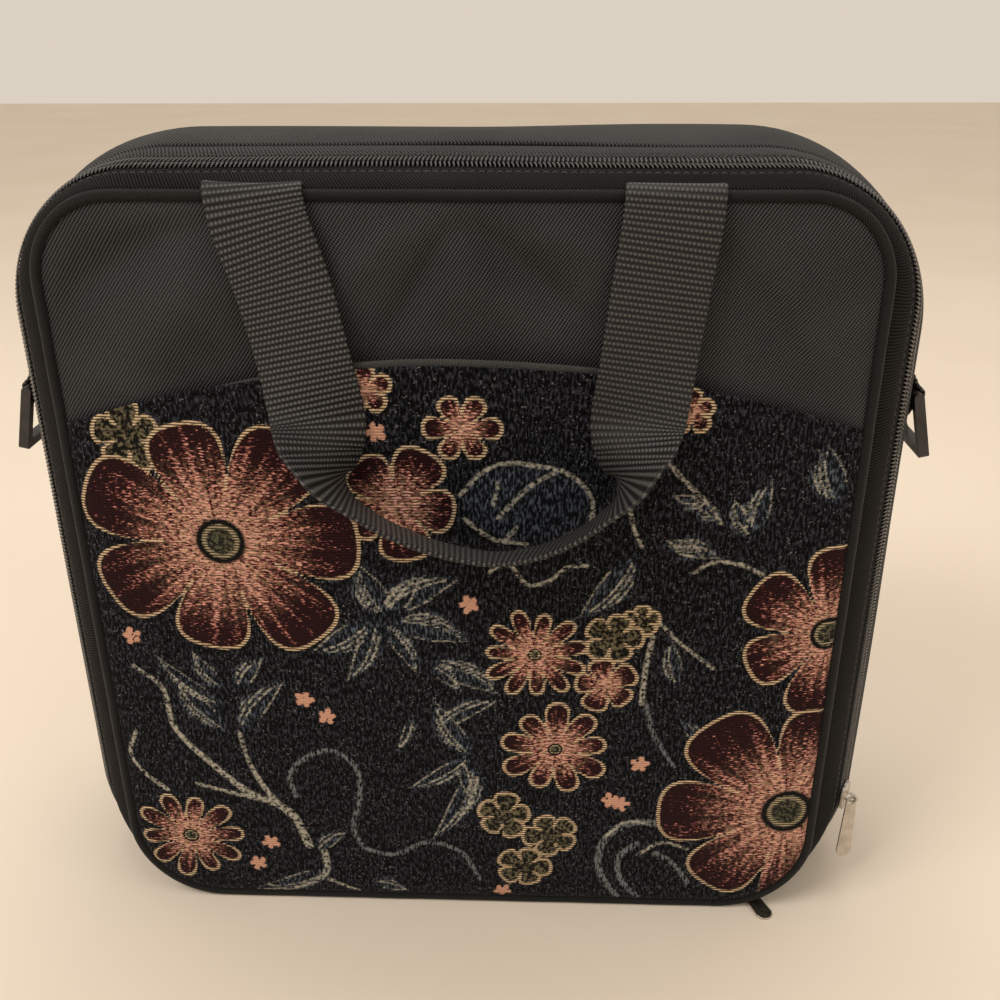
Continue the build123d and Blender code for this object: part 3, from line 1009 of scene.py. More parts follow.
@dataclass(frozen=True)
class Dent:
    """A soft hollow or swelling: a Gaussian with its own length, width and lean."""

    x: float
    z: float
    length: float
    width: float
    lean: float
    rise: float

    def height(self, x: Array, z: Array) -> Array:
        """How far the cloth stands out: the rise times a Gaussian of the way along and across the dent.

        Args:
            x: Places across the panel.
            z: Places up the panel.

        Returns:
            The heights.
        """
        lean = np.radians(self.lean)
        along = (x - self.x) * np.cos(lean) + (z - self.z) * np.sin(lean)
        across = (z - self.z) * np.cos(lean) - (x - self.x) * np.sin(lean)
        return self.rise * np.exp(-((along / self.length) ** 2) - (across / self.width) ** 2)


@dataclass
class PaddedPanel:
    """A front or back wall: padded cloth whose edge dips into the seam behind the piping."""

    name: str
    node: str
    body: str
    facing: float
    dents: Sequence[Dent]
    crown: float = 1.6
    crown_from: float = 245.0
    thickness: float = 2.6
    grow: float = 1.4
    seam_depth: float = 2.4
    roll: float = 1.6
    roll_width: float = 2.6
    rows: int = 145
    columns: int = 137

    def build(self, material: Material) -> Piece:
        """Makes a grid over the outline; its depth is the seam's roll, less the crown and the dents.

        The roll is an exponential of the distance in from the edge. Rows lie closer at the top and the base.

        Args:
            material: Finish of the cloth.

        Returns:
            The seated piece.
        """
        share = np.linspace(0, 1, self.rows)
        share = share - 0.132 * np.sin(2 * np.pi * share) / np.pi
        z = (FORM.piping - self.grow + (FORM.panel_top - FORM.piping + 2 * self.grow) * share)[:, None]
        x = np.linspace(-1, 1, self.columns) * FORM.half_width(z, self.grow)
        z = z + 0 * x
        inside = np.maximum(FORM.inside(x, z), -self.grow)
        depth = self.seam_depth - self.roll * (1 - np.exp(-(inside + self.grow) / self.roll_width))
        crown = ease(inside, 0, 45) * ease(z, self.crown_from - 15, self.crown_from + 25)
        dents = sum(dent.height(x, z) for dent in self.dents)
        depth = depth - self.crown * crown - dents * ease(inside, 1, 14)
        y = (depth - FORM.depth / 2) * self.facing
        back = self.facing * (np.maximum(depth, 0.9) + self.thickness - FORM.depth / 2)
        points, faces = shell(np.stack([x, y, z], -1), np.stack([x, back, z], -1))
        piece = make_piece(self.name, points, faces, material, points[:, [0, 2]])
        return seat(piece, self.body, "polyester", self.node)


class Bloom(Enum):
    """How a woven flower is filled."""

    SHADED = 0.0
    OUTLINED = 1.0
    STAR = 2.0


@dataclass(frozen=True)
class Flower:
    """A stock garden flower of like petals round an eye."""

    x: float
    z: float
    reach: float
    petals: int
    turn: float
    blunt: float = 4.0
    full: float = 1.05
    bloom: Bloom = Bloom.SHADED
    eye: float = 0.0

    def petal(self, angle: Array) -> Array:
        """Number of the petal at an angle, whole in the petal's middle."""
        return (angle - np.radians(self.turn)) * self.petals / (2 * np.pi)

    def rim(self, angle: Array) -> Array:
        """Reach of the outline: one less the share of a petal's half angle to the power blunt, rounded off.

        Args:
            angle: Angles round the eye.

        Returns:
            The reach at each, a little different from petal to petal.
        """
        petal = self.petal(angle)
        nearest = np.round(petal)
        across = np.abs(2 * (petal - nearest) / self.full)
        length = self.reach * (1 + 0.07 * np.sin(2.1 * np.mod(nearest, self.petals) + self.x))
        return length * np.clip(1 - across**self.blunt, 0, 1) ** 0.42

    def fields(self, x: Array, z: Array) -> dict[str, Array]:
        """Distances and shares that the finish draws the flower from.

        The distance to the outline is the way out along the radius, shortened by the outline's slope.

        Args:
            x: Places across the cloth.
            z: Places up the cloth.

        Returns:
            The fields whose names start with bloom.
        """
        out_x, out_z = x - self.x, z - self.z
        radius = np.hypot(out_x, out_z)
        angle = np.arctan2(out_z, out_x)
        nudge, steepest = 0.01, 2 * self.reach
        slope = (self.rim(angle + nudge) - self.rim(angle - nudge)) / (2 * nudge)
        slope = np.clip(slope, -steepest, steepest)
        gap = (radius - self.rim(angle)) / np.sqrt(1 + (slope / np.maximum(radius, 2)) ** 2)
        petal = self.petal(angle)
        away = (0.5 - np.abs(petal - np.round(petal))) * 2 * np.pi / self.petals
        seam = np.where((radius > 0.42 * self.reach) & (gap < 0), radius * np.sin(away), FAR)
        eye_radius = max(self.eye, 0.001) * self.reach
        return {
            "bloom_gap": np.clip(gap, -8, 8),
            "bloom_edge": np.clip(np.minimum(np.abs(gap), seam), 0, 8),
            "bloom_share": radius / self.reach,
            "bloom_x": out_x,
            "bloom_z": out_z,
            "bloom_kind": np.full_like(x, self.bloom.value),
            "bloom_eye": np.minimum(radius / eye_radius, 5.0),
        }


@dataclass(frozen=True)
class Blade:
    """A pointed leaf with strokes along one half and an outline on the other."""

    x: float
    z: float
    tip_x: float
    tip_z: float
    width: float
    stroke: float = 2.5

    def gaps(self, x: Array, z: Array) -> tuple[Array, Array]:
        """Distance to the leaf and to its drawn lines.

        The half width goes as the sine of the way along, and the strokes lie side by side.

        Args:
            x: Places across the cloth.
            z: Places up the cloth.

        Returns:
            Distance to the leaf, negative inside, and distance to the nearest line.
        """
        run_x, run_z = self.tip_x - self.x, self.tip_z - self.z
        out_x, out_z = x - self.x, z - self.z
        length = np.hypot(run_x, run_z)
        share = (out_x * run_x + out_z * run_z) / length**2
        across = (out_z * run_x - out_x * run_z) / length - 0.08 * length * np.sin(np.pi * share)
        held = np.clip(share, 0, 1)
        half = self.width / 2 * np.sin(np.pi * held**0.85)
        beyond = np.abs(share - held) * length
        over = np.abs(across) - half
        gap = np.hypot(np.maximum(over, 0), beyond) + np.minimum(over, 0)
        stroke = np.abs(across - self.stroke * np.round(across / self.stroke))
        shown = (across > -1.0) & (across < half - 0.7) & (share > 0.1) & (share < 0.88)
        outline = np.where((across < 0) & (share > 0.3), np.abs(gap) + 0.15, FAR)
        return gap, np.minimum(np.where(shown, stroke, FAR), outline)


def line_gap(
    x: Array, z: Array, route: Sequence[tuple[float, float]], start: float, stop: float
) -> Array:
    """Distance to a drawn stem, less its half width, which goes evenly from start to stop.

    Args:
        x: Places across the cloth.
        z: Places up the cloth.
        route: Points that the stem passes.
        start: Half width at its first point.
        stop: Half width at its last point.

    Returns:
        The distances.
    """
    curve, run = smooth_path(np.array([(px, 0.0, pz) for px, pz in route]), 3.0)
    way_x, _, way_z = curve.T
    near = (x > way_x.min() - FAR) & (x < way_x.max() + FAR)
    near &= (z > way_z.min() - FAR) & (z < way_z.max() + FAR)
    out_x, out_z = x[near][:, None] - way_x[:-1], z[near][:, None] - way_z[:-1]
    step_x, step_z = np.diff(way_x), np.diff(way_z)
    share = np.clip((out_x * step_x + out_z * step_z) / (step_x**2 + step_z**2), 0, 1)
    half = start + (stop - start) * (run[:-1] + share * np.diff(run)) / run[-1]
    best = np.full(x.shape, FAR)
    best[near] = (np.hypot(out_x - share * step_x, out_z - share * step_z) - half).min(1)
    return best


FLOWERS = (
    Flower(-104, 207, 59, 7, 53, eye=0.185),
    Flower(154, 64, 62, 7, 25.7, eye=0.2),
    Flower(162, 163, 41, 6, 27, full=1.0, eye=0.2),
    Flower(-26, 227, 25, 5, -11),
    Flower(1.5, 261, 15, 6, 0, blunt=2.4, full=0.98),
    Flower(32, 153, 23, 11, 12, blunt=2.0, full=1.02, eye=0.14),
    Flower(42, 100, 25, 9, 8, blunt=2.4, eye=0.14),
    Flower(-138, 42, 26, 10, 5, blunt=2.2, full=0.98, eye=0.16),
    Flower(64, 137, 14, 5, 30, full=1.0),
    Flower(67, 162, 13, 5, 75, bloom=Bloom.OUTLINED),
    Flower(79, 171, 8, 5, 20, bloom=Bloom.OUTLINED),
    Flower(18, 60, 13, 5, 10, bloom=Bloom.OUTLINED),
    Flower(41, 48, 13, 5, 40, bloom=Bloom.OUTLINED),
    Flower(28, 27, 13, 5, 0, bloom=Bloom.OUTLINED),
    Flower(-139, 254, 15, 5, 20, bloom=Bloom.OUTLINED),
    Flower(94, 268, 9, 5, 20, blunt=2.4),
    Flower(-37, 277, 10, 5, 20, blunt=2.4),
) + tuple(
    Flower(x, z, 4.6, 5, 37 * x, blunt=2.0, full=0.95, bloom=Bloom.STAR)
    for x, z in (
        (-151, 157), (-74, 126), (-64, 117), (-34, 259), (3, 179), (-106, 25),
        (-98, 39), (69, 70), (74, 68), (82, 92), (17, 10),
    )
)

# Root, tip and width of each leaf
BLADES = tuple(
    Blade(*row)
    for row in (
        (-37, 174, -1, 192, 15), (-40, 170, -68, 152, 13), (-38, 170, -53, 137, 11),
        (-36, 170, -20, 142, 10), (-31, 170, 3, 160, 15), (-15, 147, -1, 134, 8),
        (-112, 106, -135, 135, 12), (-107, 106, -83, 136, 12), (-112, 130, -125, 150, 9),
        (-106, 130, -92, 148, 10), (-68, 22, -107, 8, 11), (4, 95, -14, 128, 12),
        (3, 97, -28, 75, 10), (4, 90, -17, 43, 11), (6, 88, -4, 56, 8),
        (-24, 119, -32, 98, 6), (108, 206, 85, 210, 10), (123, 213, 129, 238, 12),
        (158, 226, 150, 254, 15), (75, 205, 51, 172, 14), (97, 136, 92, 162, 10),
        (103, 227, 88, 231, 8), (78, 250, 60, 268, 9), (-33, 172, -45, 198, 15),
        (-33, 173, -18, 192, 11), (-14, 112, 16, 129, 10), (-2, 93, 1, 69, 8),
        (-15, 149, 17, 132, 13), (112, 219, 96, 230, 8), (88, 209, 112, 202, 10),
        (124, 211, 113, 230, 9), (-112, 120, -143, 148, 9), (-76, 33, -60, 47, 8),
        (-49, 14, -30, 8, 8), (100, 118, 112, 100, 8),
    )
)

# Route of each stem, with its half width at both ends
STEMS = (
    (((-153, 141), (-141, 130), (-138, 108), (-122, 87), (-105, 70), (-87, 59), (-79, 37)), 0.1, 1.3),
    (((-107, 106), (-103, 86), (-97, 72), (-87, 57)), 0.0, 0.8),
    (((-131, 75), (-114, 70), (-96, 65)), 0.0, 0.5),
    (((-108, 5), (-88, 8), (-71, 22), (-72, 33)), 0.2, 0.9),
    (((-71, 15), (-56, 7)), 0.3, 0.0),
    (((-157, 104), (-162, 90), (-156, 79), (-146, 70)), 0.0, 0.3),
    (((0, 231), (10, 242), (20, 246), (31, 245), (44, 242), (55, 230), (55, 218)), 0.1, 0.1),
    (((28, 209), (14, 211), (2, 220)), 0.0, 0.1),
    (((14, 227), (16, 237)), 0.1, 0.0),
    (((16, 221), (31, 237), (39, 242)), 0.2, 0.0),
    (((19, 211), (24, 217)), 0.1, 0.0),
    (((86, 246), (94, 237), (103, 228), (110, 218)), 0.1, 0.0),
    (((100, 195), (105, 199), (121, 198), (130, 193)), 0.0, 0.1),
    (((71, 226), (73, 217), (77, 208)), 0.0, 0.0),
    (((81, 178), (93, 163), (112, 146)), 0.0, 0.0),
    (((84, 163), (82, 148), (81, 127)), 0.3, 0.4),
    (((12, 195), (19, 200), (29, 189), (39, 192), (45, 198), (54, 199)), 0.0, 0.0),
    (((68, 48), (77, 57), (88, 56)), 0.1, 0.0),
    (((84, 36), (96, 44), (108, 40)), 0.1, 0.0),
)

VINES = (
    (
        (
            (-83, 69), (-85, 81), (-75, 93), (-64, 97), (-54, 90), (-52, 68),
            (-56, 48), (-51, 36), (-38, 32), (-20, 41), (-5, 37), (6, 18),
        ),
        0.5,
        0.3,
    ),
    (((83, 126), (87, 111), (98, 91)), 0.3, 0.1),
    (((102, 54), (79, 56), (67, 45), (65, 26), (75, 7)), 1.2, 0.8),
    (((83, 43), (75, 35), (76, 20), (85, 7)), 0.8, 0.6),
    (((92, 37), (101, 31), (110, 17)), 0.6, 0.4),
)


@dataclass
class TapestryPocket:
    """The slip pocket: a tapestry front sewn down at the sides and the base, with a grey lining."""

    edge_height: float = 258.5
    crown_height: float = 287.0
    mean_rise: float = 14.0
    bulge: float = 8.0
    bulge_from: float = 5.2
    thickness: float = 1.2
    grow: float = 1.2
    seam_depth: float = 2.0
    roll: float = 3.0
    roll_width: float = 2.6
    rows: int = 249
    columns: int = 301
    peep: float = 2.6
    facing_drop: float = 30.0
    facing_share: float = 0.62
    facing_gap: float = 0.25
    facing_thickness: float = 0.7
    facing_rows: int = 25
    facing_columns: int = 121
    # Middle, half length and half height of the one oval leaf
    oval: tuple = (28, 228, 27, 17)

    def mouth(self, x: Array) -> Array:
        """Height of the arched mouth: a circle through both side seams and the crown.

        Args:
            x: Places across the cloth.

        Returns:
            The heights.
        """
        rise = self.crown_height - self.edge_height
        radius = (FORM.panel_half**2 + rise**2) / (2 * rise)
        held = np.clip(x, -FORM.panel_half, FORM.panel_half)
        return self.crown_height - radius + np.sqrt(radius**2 - held**2)

    def depth(self, x: Array, z: Array) -> Array:
        """Depth of the tapestry's face: the seam's roll, less a bulge that grows towards the mouth.

        Across, the bulge is a parabola. Two slow sines and a slack that fades below the mouth are added.

        Args:
            x: Places across the cloth.
            z: Places up the cloth.

        Returns:
            Depths behind the front of the piping.
        """
        up = (z - self.bulge_from) / (self.crown_height - self.bulge_from)
        share = np.interp(up, (0, 0.2, 0.45, 0.72, 1.05), (0.03, 0.36, 0.68, 0.9, 1.0))
        inside = np.maximum(FORM.inside(x, z), -self.grow)
        roll = self.seam_depth - self.roll * (1 - np.exp(-(inside + self.grow) / self.roll_width))
        full = self.bulge * share * (1 - (x / FORM.panel_half) ** 2)
        waves = 0.45 * np.sin(x / 21 + z / 47) + 0.35 * np.sin(x / 34 - z / 26 + 1.3)
        slack = 0.8 * np.sin(x / 15.5) * np.exp(-(((self.mouth(x) - z) / 22) ** 2))
        return roll - full - (waves + slack) * ease(inside, 2, 30)

    def figures(self, x: Array, z: Array) -> dict[str, Array]:
        """Fields of all the woven figures; a flower that comes earlier in the list lies over the later ones.

        Args:
            x: Places across the cloth.
            z: Places up the cloth.

        Returns:
            One array per field.
        """
        fields = {key: np.full(x.shape, FAR) for key in FIELD_NAMES}
        for flower in FLOWERS:
            own = flower.fields(x, z)
            free = fields["bloom_gap"] > 0
            near = free & (own["bloom_gap"] < fields["bloom_gap"])
            edge = np.minimum(fields["bloom_edge"], own["bloom_edge"])
            for key, values in own.items():
                fields[key] = np.where(near, values, fields[key])
            fields["bloom_edge"] = np.where(free, edge, fields["bloom_edge"])
        middle_x, middle_z, long, high = self.oval
        fields["leaf_gap"] = (np.hypot((x - middle_x) / long, (z - middle_z) / high) - 1) * high
        for blade in BLADES:
            gap, line = blade.gaps(x, z)
            fields["leaf_gap"] = np.minimum(fields["leaf_gap"], gap)
            fields["leaf_line"] = np.minimum(fields["leaf_line"], line)
        for key, routes in (("stem_line", STEMS), ("vine_line", VINES)):
            for route, start, stop in routes:
                fields[key] = np.minimum(fields[key], line_gap(x, z, route, start, stop))
        return fields

    def front(self, material: Material) -> Piece:
        """Makes the tapestry as a grid from the base seam to the mouth.

        Args:
            material: Finish of the tapestry.

        Returns:
            The seated piece.
        """
        share = np.linspace(0, 1, self.rows)[:, None]
        across = np.linspace(-1, 1, self.columns)
        low = FORM.piping - self.grow
        guess = low + share * (self.mouth(across * FORM.panel_half) - low)
        x = across * FORM.half_width(guess, self.grow)
        z = low + share * (self.mouth(x) - low)
        y = self.depth(x, z) - FORM.depth / 2
        points, faces = shell(np.stack([x, y, z], -1), np.stack([x, y + self.thickness, z], -1))
        fields = self.figures(points[:, 0], points[:, 2])
        tapestry = make_piece("pocket_tapestry", points, faces, material, points[:, [0, 2]], fields)
        return seat(tapestry, "front_cover", "tapestry", "pocket_panel")

    def lining(self, material: Material) -> Piece:
        """Makes the lining as a strip behind the mouth that shows above it in the middle.

        Args:
            material: Finish of the lining.

        Returns:
            The seated piece.
        """
        wide = np.linspace(-1, 1, self.facing_columns) * FORM.panel_half * self.facing_share
        fade = 1 - np.abs(wide / wide[-1]) ** 3
        top = self.mouth(wide) + self.peep * fade - 0.6 * (1 - fade)
        z = top - self.facing_drop * (1 - np.linspace(0, 1, self.facing_rows)[:, None])
        x = wide + 0 * z
        face = self.depth(x, np.minimum(z, self.mouth(x))) - FORM.depth / 2
        y = face + self.thickness + self.facing_gap
        points, faces = shell(np.stack([x, y, z], -1), np.stack([x, y + self.facing_thickness, z], -1))
        strip = make_piece("pocket_lining", points, faces, material, points[:, [0, 2]])
        return seat(strip, "front_cover", "pocket_lining", "pocket_facing")


@dataclass
class Strap:
    """Flat webbing along a route, with ribs across it and soft edges."""

    name: str
    width: float
    thickness: float
    rests_on: str
    rib: float = 2.3
    rib_rise: float = 0.13
    samples: int = 6
    columns: int = 13

    def build(self, stations: Array, material: Material) -> tuple[Piece, float]:
        """Carries a flat rounded cross-section along the stations; its height follows a cosine per rib.

        Args:
            stations: Rows of place and width direction.
            material: Finish of the webbing.

        Returns:
            The piece, not yet seated, and its length.
        """
        rows, run = smooth_path(stations, self.rib / self.samples)
        centre = rows[:, :3]
        ahead = np.gradient(centre, axis=0)
        ahead /= np.linalg.norm(ahead, axis=1, keepdims=True)
        wide = rows[:, 3:6] - ahead * np.einsum("ij,ij->i", rows[:, 3:6], ahead)[:, None]
        wide /= np.linalg.norm(wide, axis=1, keepdims=True)
        up = np.cross(ahead, wide)
        soft = self.thickness / 2
        flat = self.width / 2 - soft
        bend = np.radians([60.0, 30.0, 0.0, -30.0, -60.0])
        across = np.concatenate([np.linspace(-flat, flat, self.columns), flat + soft * np.cos(bend)])
        over = np.concatenate([np.full(self.columns, soft), soft * np.sin(bend)])
        across, over = (np.concatenate([half, -half])[:, None] for half in (across, over))
        rise = 1 + self.rib_rise * np.cos(2 * np.pi * run / self.rib)
        points = centre + wide * across[..., None] + up * (over * rise)[..., None]
        uv = np.stack(np.broadcast_arrays(across, run), -1)
        piece = make_piece(self.name, points, band_faces(*points.shape[:2]), material, uv)
        return piece, float(run[-1])


@dataclass
class Handles:
    """The two carrying handles: sewn in behind the piping, hanging down and twisted edge-on in the loop."""

    half_span: float = 79.5
    drop: float = 141.0
    sway: float = 16.0
    stand_off: float = 27.5
    lift: float = 20.0
    hinge: float = 353.5
    bend_from: float = 0.6
    bend_to: float = -3.2
    front: float = -1.4
    width: float = 38.0
    thickness: float = 1.8
    # Depth and height of the webbing on its way out of the seam and over the piping
    tuck: tuple = ((5.4, 349.5), (5.2, 352.0), (4.3, 354.0), (2.5, 354.7), (0.5, 354.0), (-1.1, 352.2))
    # Shares of the half span, the stand-off, the drop, a quarter turn and the sway, down to the loop's middle
    shares: tuple = (
        (1.0, 0.03, 0.04, 0.0, 0.2),
        (0.92, 0.17, 0.25, 0.0, 0.36),
        (0.83, 0.36, 0.53, 0.02, 0.48),
        (0.8, 0.46, 0.62, 0.14, 0.5),
        (0.78, 0.74, 0.7, 0.48, 0.52),
        (0.75, 0.92, 0.765, 0.8, 0.56),
        (0.69, 0.98, 0.82, 0.96, 0.62),
        (0.57, 1.0, 0.88, 1.0, 0.7),
        (0.38, 1.0, 0.945, 1.0, 0.82),
        (0.18, 1.0, 0.985, 1.0, 0.94),
        (0.0, 1.0, 1.0, 1.0, 1.0),
    )

    def stations(self) -> Array:
        """Stations of the front handle, from the right seam round to the left one, which mirrors it.

        Returns:
            Rows of place and width direction.
        """
        lift = np.radians(self.lift)
        span, stand, drop, turn, sway = np.array(self.shares).T
        deep, high = np.array(self.tuck).T
        lead = np.linspace(0.25, 0.08, len(deep))
        reach = self.half_span * np.concatenate([span[0] + lead * (span[0] - span[1]), span])
        middle = self.sway * np.concatenate([sway[0] + lead * (sway[0] - sway[1]), sway])
        y = np.concatenate([deep, self.front - self.stand_off * stand]) - FORM.depth / 2
        z = np.concatenate([high, self.hinge - self.drop * drop])
        turn = np.pi / 2 * np.concatenate([0 * deep, turn])
        wide = np.stack([np.cos(turn), -np.sin(turn) * np.cos(lift), np.sin(turn) * np.sin(lift)], 1)
        right = np.column_stack([middle + reach, y, z, wide])
        left = np.column_stack([middle - reach, y, z, wide * np.array([-1, 1, 1])])
        return np.concatenate([right, left[-2::-1]])

    def build(self, material: Material) -> None:
        """Makes both handles in place and hides the CAD handles; they are not carried by a body, so they do
        not bend with the joint below the seam.

        Args:
            material: Finish of the webbing.
        """
        rows = self.stations()
        for name, node, side, carrier, strap, cord in (
            ("front_handle_webbing", "front_handle", 1, "front_cover", "front_strap", "front_piping_cord"),
            ("rear_handle_webbing", "rear_handle", -1, "bag_body", "rear_strap", "rear_piping_cord"),
        ):
            turned = rows * np.array([1, side, 1, 1, side, 1])
            piece, length = Strap(name, self.width, self.thickness, cord).build(turned, material)
            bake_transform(piece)
            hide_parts(node)
            LOG.info("%s: %.0f mm of webbing", name, length)


@dataclass
class SideTabs:
    """Short webbing loops on the sides that hold the strap rings."""

    face: float = 197.0
    depth: float = 60.5
    height: float = 258.0
    axis: float = 201.3
    width: float = 25.0
    thickness: float = 1.6
    loop: float = 3.5
    # Height above or below the ring's bar, and distance off the cloth, of the sewn ends
    sewn: tuple = ((12.8, 0.0), (10.6, 0.5), (6.6, 2.6))

    def build(self, material: Material) -> None:
        """Makes both loops: sewn flat at the ends, with a round turn over the ring's bar between.

        Args:
            material: Finish of the webbing.
        """
        turn = np.radians([72.0, 36.0, 0.0, -36.0, -72.0])
        up, off = np.array(self.sewn).T
        off = off + self.face + self.thickness / 2
        x = np.concatenate([off, self.axis + self.loop * np.cos(turn), off[::-1]])
        z = np.concatenate([up, self.loop * np.sin(turn), -up[::-1]]) + self.height
        zero = np.zeros(len(x))
        for side, name, node in (
            (1, "right_tab_webbing", "side_tab_right"),
            (-1, "left_tab_webbing", "side_tab_left"),
        ):
            rows = np.stack([side * x, zero + self.depth - FORM.depth / 2, z, zero, zero + 1, zero], 1)
            piece, _ = Strap(name, self.width, self.thickness, "gusset_cloth").build(rows, material)
            seat(piece, "bag_body", "webbing", node)


@dataclass
class BottomCloth:
    """The flat bottom: padded cloth between the ends of the zip."""

    half_width: float = 105.4
    half_depth: float = 67.4
    thickness: float = 1.9
    clear: float = 0.06
    curl: float = 0.5
    curl_width: float = 1.2
    rows: int = 57
    columns: int = 85

    def build(self, material: Material) -> Piece:
        """Makes a thin slab on the floor; its edges curl up by an exponential of the distance in.

        Args:
            material: Finish of the cloth.

        Returns:
            The seated piece.
        """
        x = np.linspace(-1, 1, self.columns) * self.half_width + np.zeros((self.rows, 1))
        y = np.linspace(1, -1, self.rows)[:, None] * self.half_depth + 0 * x
        inside = np.minimum(self.half_width - np.abs(x), self.half_depth - np.abs(y))
        z = self.clear + self.curl * np.exp(-inside / self.curl_width)
        points, faces = shell(np.stack([x, y, z], -1), np.stack([x, y, z + self.thickness], -1))
        piece = make_piece("bottom_cloth", points, faces, material, points[:, :2])
        return seat(piece, "bag_body", "polyester", "bottom_panel")


# Body cloth: dull dark grey, with its weave shown by painted highlight on the yarns and painted shade in the
# gaps
OXFORD = OxfordCloth("polyester_oxford", "#030303", "#464749", sheen=0.04)
# Bias cover of the piping: darker, and smoother where it is stretched over the cord
COVER = OxfordCloth("piping_polyester", "#060606", "#222222", pitch=0.9, slant=0.8, roughness=0.5, sheen=0.05)
# Binding of the front strip: nearly black, darker than the body cloth as painted shade where the fold tilts
# away from the light, with little gloss and no sheen
SHADED_STRIP_CLOTH = OxfordCloth("strip_polyester_painted_shade", "#030303", "#282727", pitch=1.1, sheen=0.0, gloss=0.04)
# Ribbon that carries the zip: a close twill, flat and dark
RIBBON = OxfordCloth("zip_ribbon_twill", "#0b0b0b", "#1d1c1c", pitch=0.9, slant=0.3, sheen=0.04)
# Lining: thin, finer and plainly lighter than the body
LINING = OxfordCloth("lining_taffeta", "#2f2e2e", "#565453", pitch=0.7, slant=0.1, roughness=0.55, sheen=0.1)
# Webbing: black, with painted shade at the roots of the ribs and a grey painted highlight on their tops
WEBBING = RibbedWebbing("polypropylene_webbing", "#020202", "#565452")
TAPESTRY = TapestryCloth()
# Drawn filament: smooth, with small soft glints along the row
TEETH = SmoothFinish("nylon_coil", "#1b1a1a", "#2e2c2c", 0.27, grain=0.8, relief=0.01)
# Spun thread: fuzzy, without glints
THREAD = SmoothFinish("sewing_thread", "#1b1a19", "#333130", 0.6, grain=0.3, relief=0.03)
# Plated sliders and pulls: bright warm metal, blurred a little by handling
NICKEL = SmoothFinish("plated_nickel", "#cac3b9", "#aea79d", 0.28, metallic=1.0, grain=0.9, relief=0.012)
# Moulded rings: satin black with a fine texture
ACETAL = SmoothFinish("moulded_acetal", "#211e1d", "#36312f", 0.42, grain=0.7, relief=0.015)
# Pressed board: flat grey-brown fibres
BOARD = SmoothFinish("grey_fibreboard", "#6f675d", "#857c70", 0.9, grain=1.5, relief=0.1)
# Floor: flat, pale and warm
FLOOR = SmoothFinish("painted_floor", "#eadece", "#e6d9c8", 0.9, grain=40.0, relief=0.0)

FRONT_DENTS = (
    Dent(-112, 304, 42, 14, 33, 3.2),
    Dent(-128, 329, 44, 9, 30, -3.4),
    Dent(-16, 316, 30, 6, 58, -3.6),
    Dent(5, 314, 20, 11, 90, 2.2),
    Dent(34, 316, 34, 7, -40, -4.0),
    Dent(50, 330, 26, 9, -30, 2.4),
    Dent(-36, 326, 26, 9, 40, 2.2),
    Dent(139, 312, 30, 9, 100, 2.6),
    Dent(121, 304, 42, 8, -52, -3.2),
)

REAR_DENTS = (
    Dent(-60, 240, 80, 30, 25, 1.6),
    Dent(70, 180, 90, 26, -35, -1.4),
    Dent(10, 90, 110, 30, 8, 1.6),
    Dent(-95, 130, 60, 22, 70, -1.2),
    Dent(95, 290, 55, 18, -20, 1.2),
)

PANELS = (
    PaddedPanel("front_panel_cloth", "front_panel", "front_cover", 1.0, FRONT_DENTS),
    PaddedPanel("rear_panel_cloth", "rear_panel", "bag_body", -1.0, REAR_DENTS, crown=2.5, crown_from=-40.0),
)

CORDS = (
    Piping("front_piping_cord", "front_piping", "front_cover", 2.5),
    Piping("rear_piping_cord", "rear_piping", "bag_body", FORM.depth - 2.5),
)

# Each band with its finish; the four numbers are its two edges, its thickness and its height
BANDS = (
    (
        SHADED_STRIP_CLOTH,
        ClothBand(
            "front_strip_cloth", "front_strip", "front_cover", "polyester", 4.9, 18.4, 1.3, 0.2,
            pillow=0.5, groove=16.4, ripple=0.1, seam=3.0,
        ),
    ),
    (
        RIBBON,
        ClothBand(
            "front_zip_ribbon", "front_zip_tape", "front_cover", "zip_tape", 11.8, 22.4, 0.9, -0.35,
            dive=(19.2, 17.4),
        ),
    ),
    (
        RIBBON,
        ClothBand(
            "rear_zip_ribbon", "rear_zip_tape", "bag_body", "zip_tape", 27.6, 38.2, 0.9, -0.35,
            dive=(30.6, 32.4),
        ),
    ),
    (
        OXFORD,
        ClothBand(
            "zip_facing_cloth", "rear_zip_facing", "bag_body", "polyester", 31.6, 46.4, 1.3, 0.2,
            pillow=0.4, groove=33.7, ripple=0.1, dive=(41.4, 44.2),
        ),
    ),
    (
        OXFORD,
        ClothBand(
            "gusset_cloth", "main_gusset", "bag_body", "polyester", 44.6, 140.0, 2.2, 0.9,
            pillow=0.2, ripple=0.45, count=56, seam=142.0,
        ),
    ),
)

CHAINS = (
    ZipChain("front_zip_teeth", "front_zip_coil", "front_cover", 20.3, 25.2, 0.0),
    ZipChain("rear_zip_teeth", "rear_zip_coil", "bag_body", 29.7, 24.8, 0.5),
)

STITCHES = (
    StitchRow("front_strip_stitches", "front_cover", 16.4, 0.15),
    StitchRow("zip_facing_stitches", "bag_body", 33.7, 0.05),
)


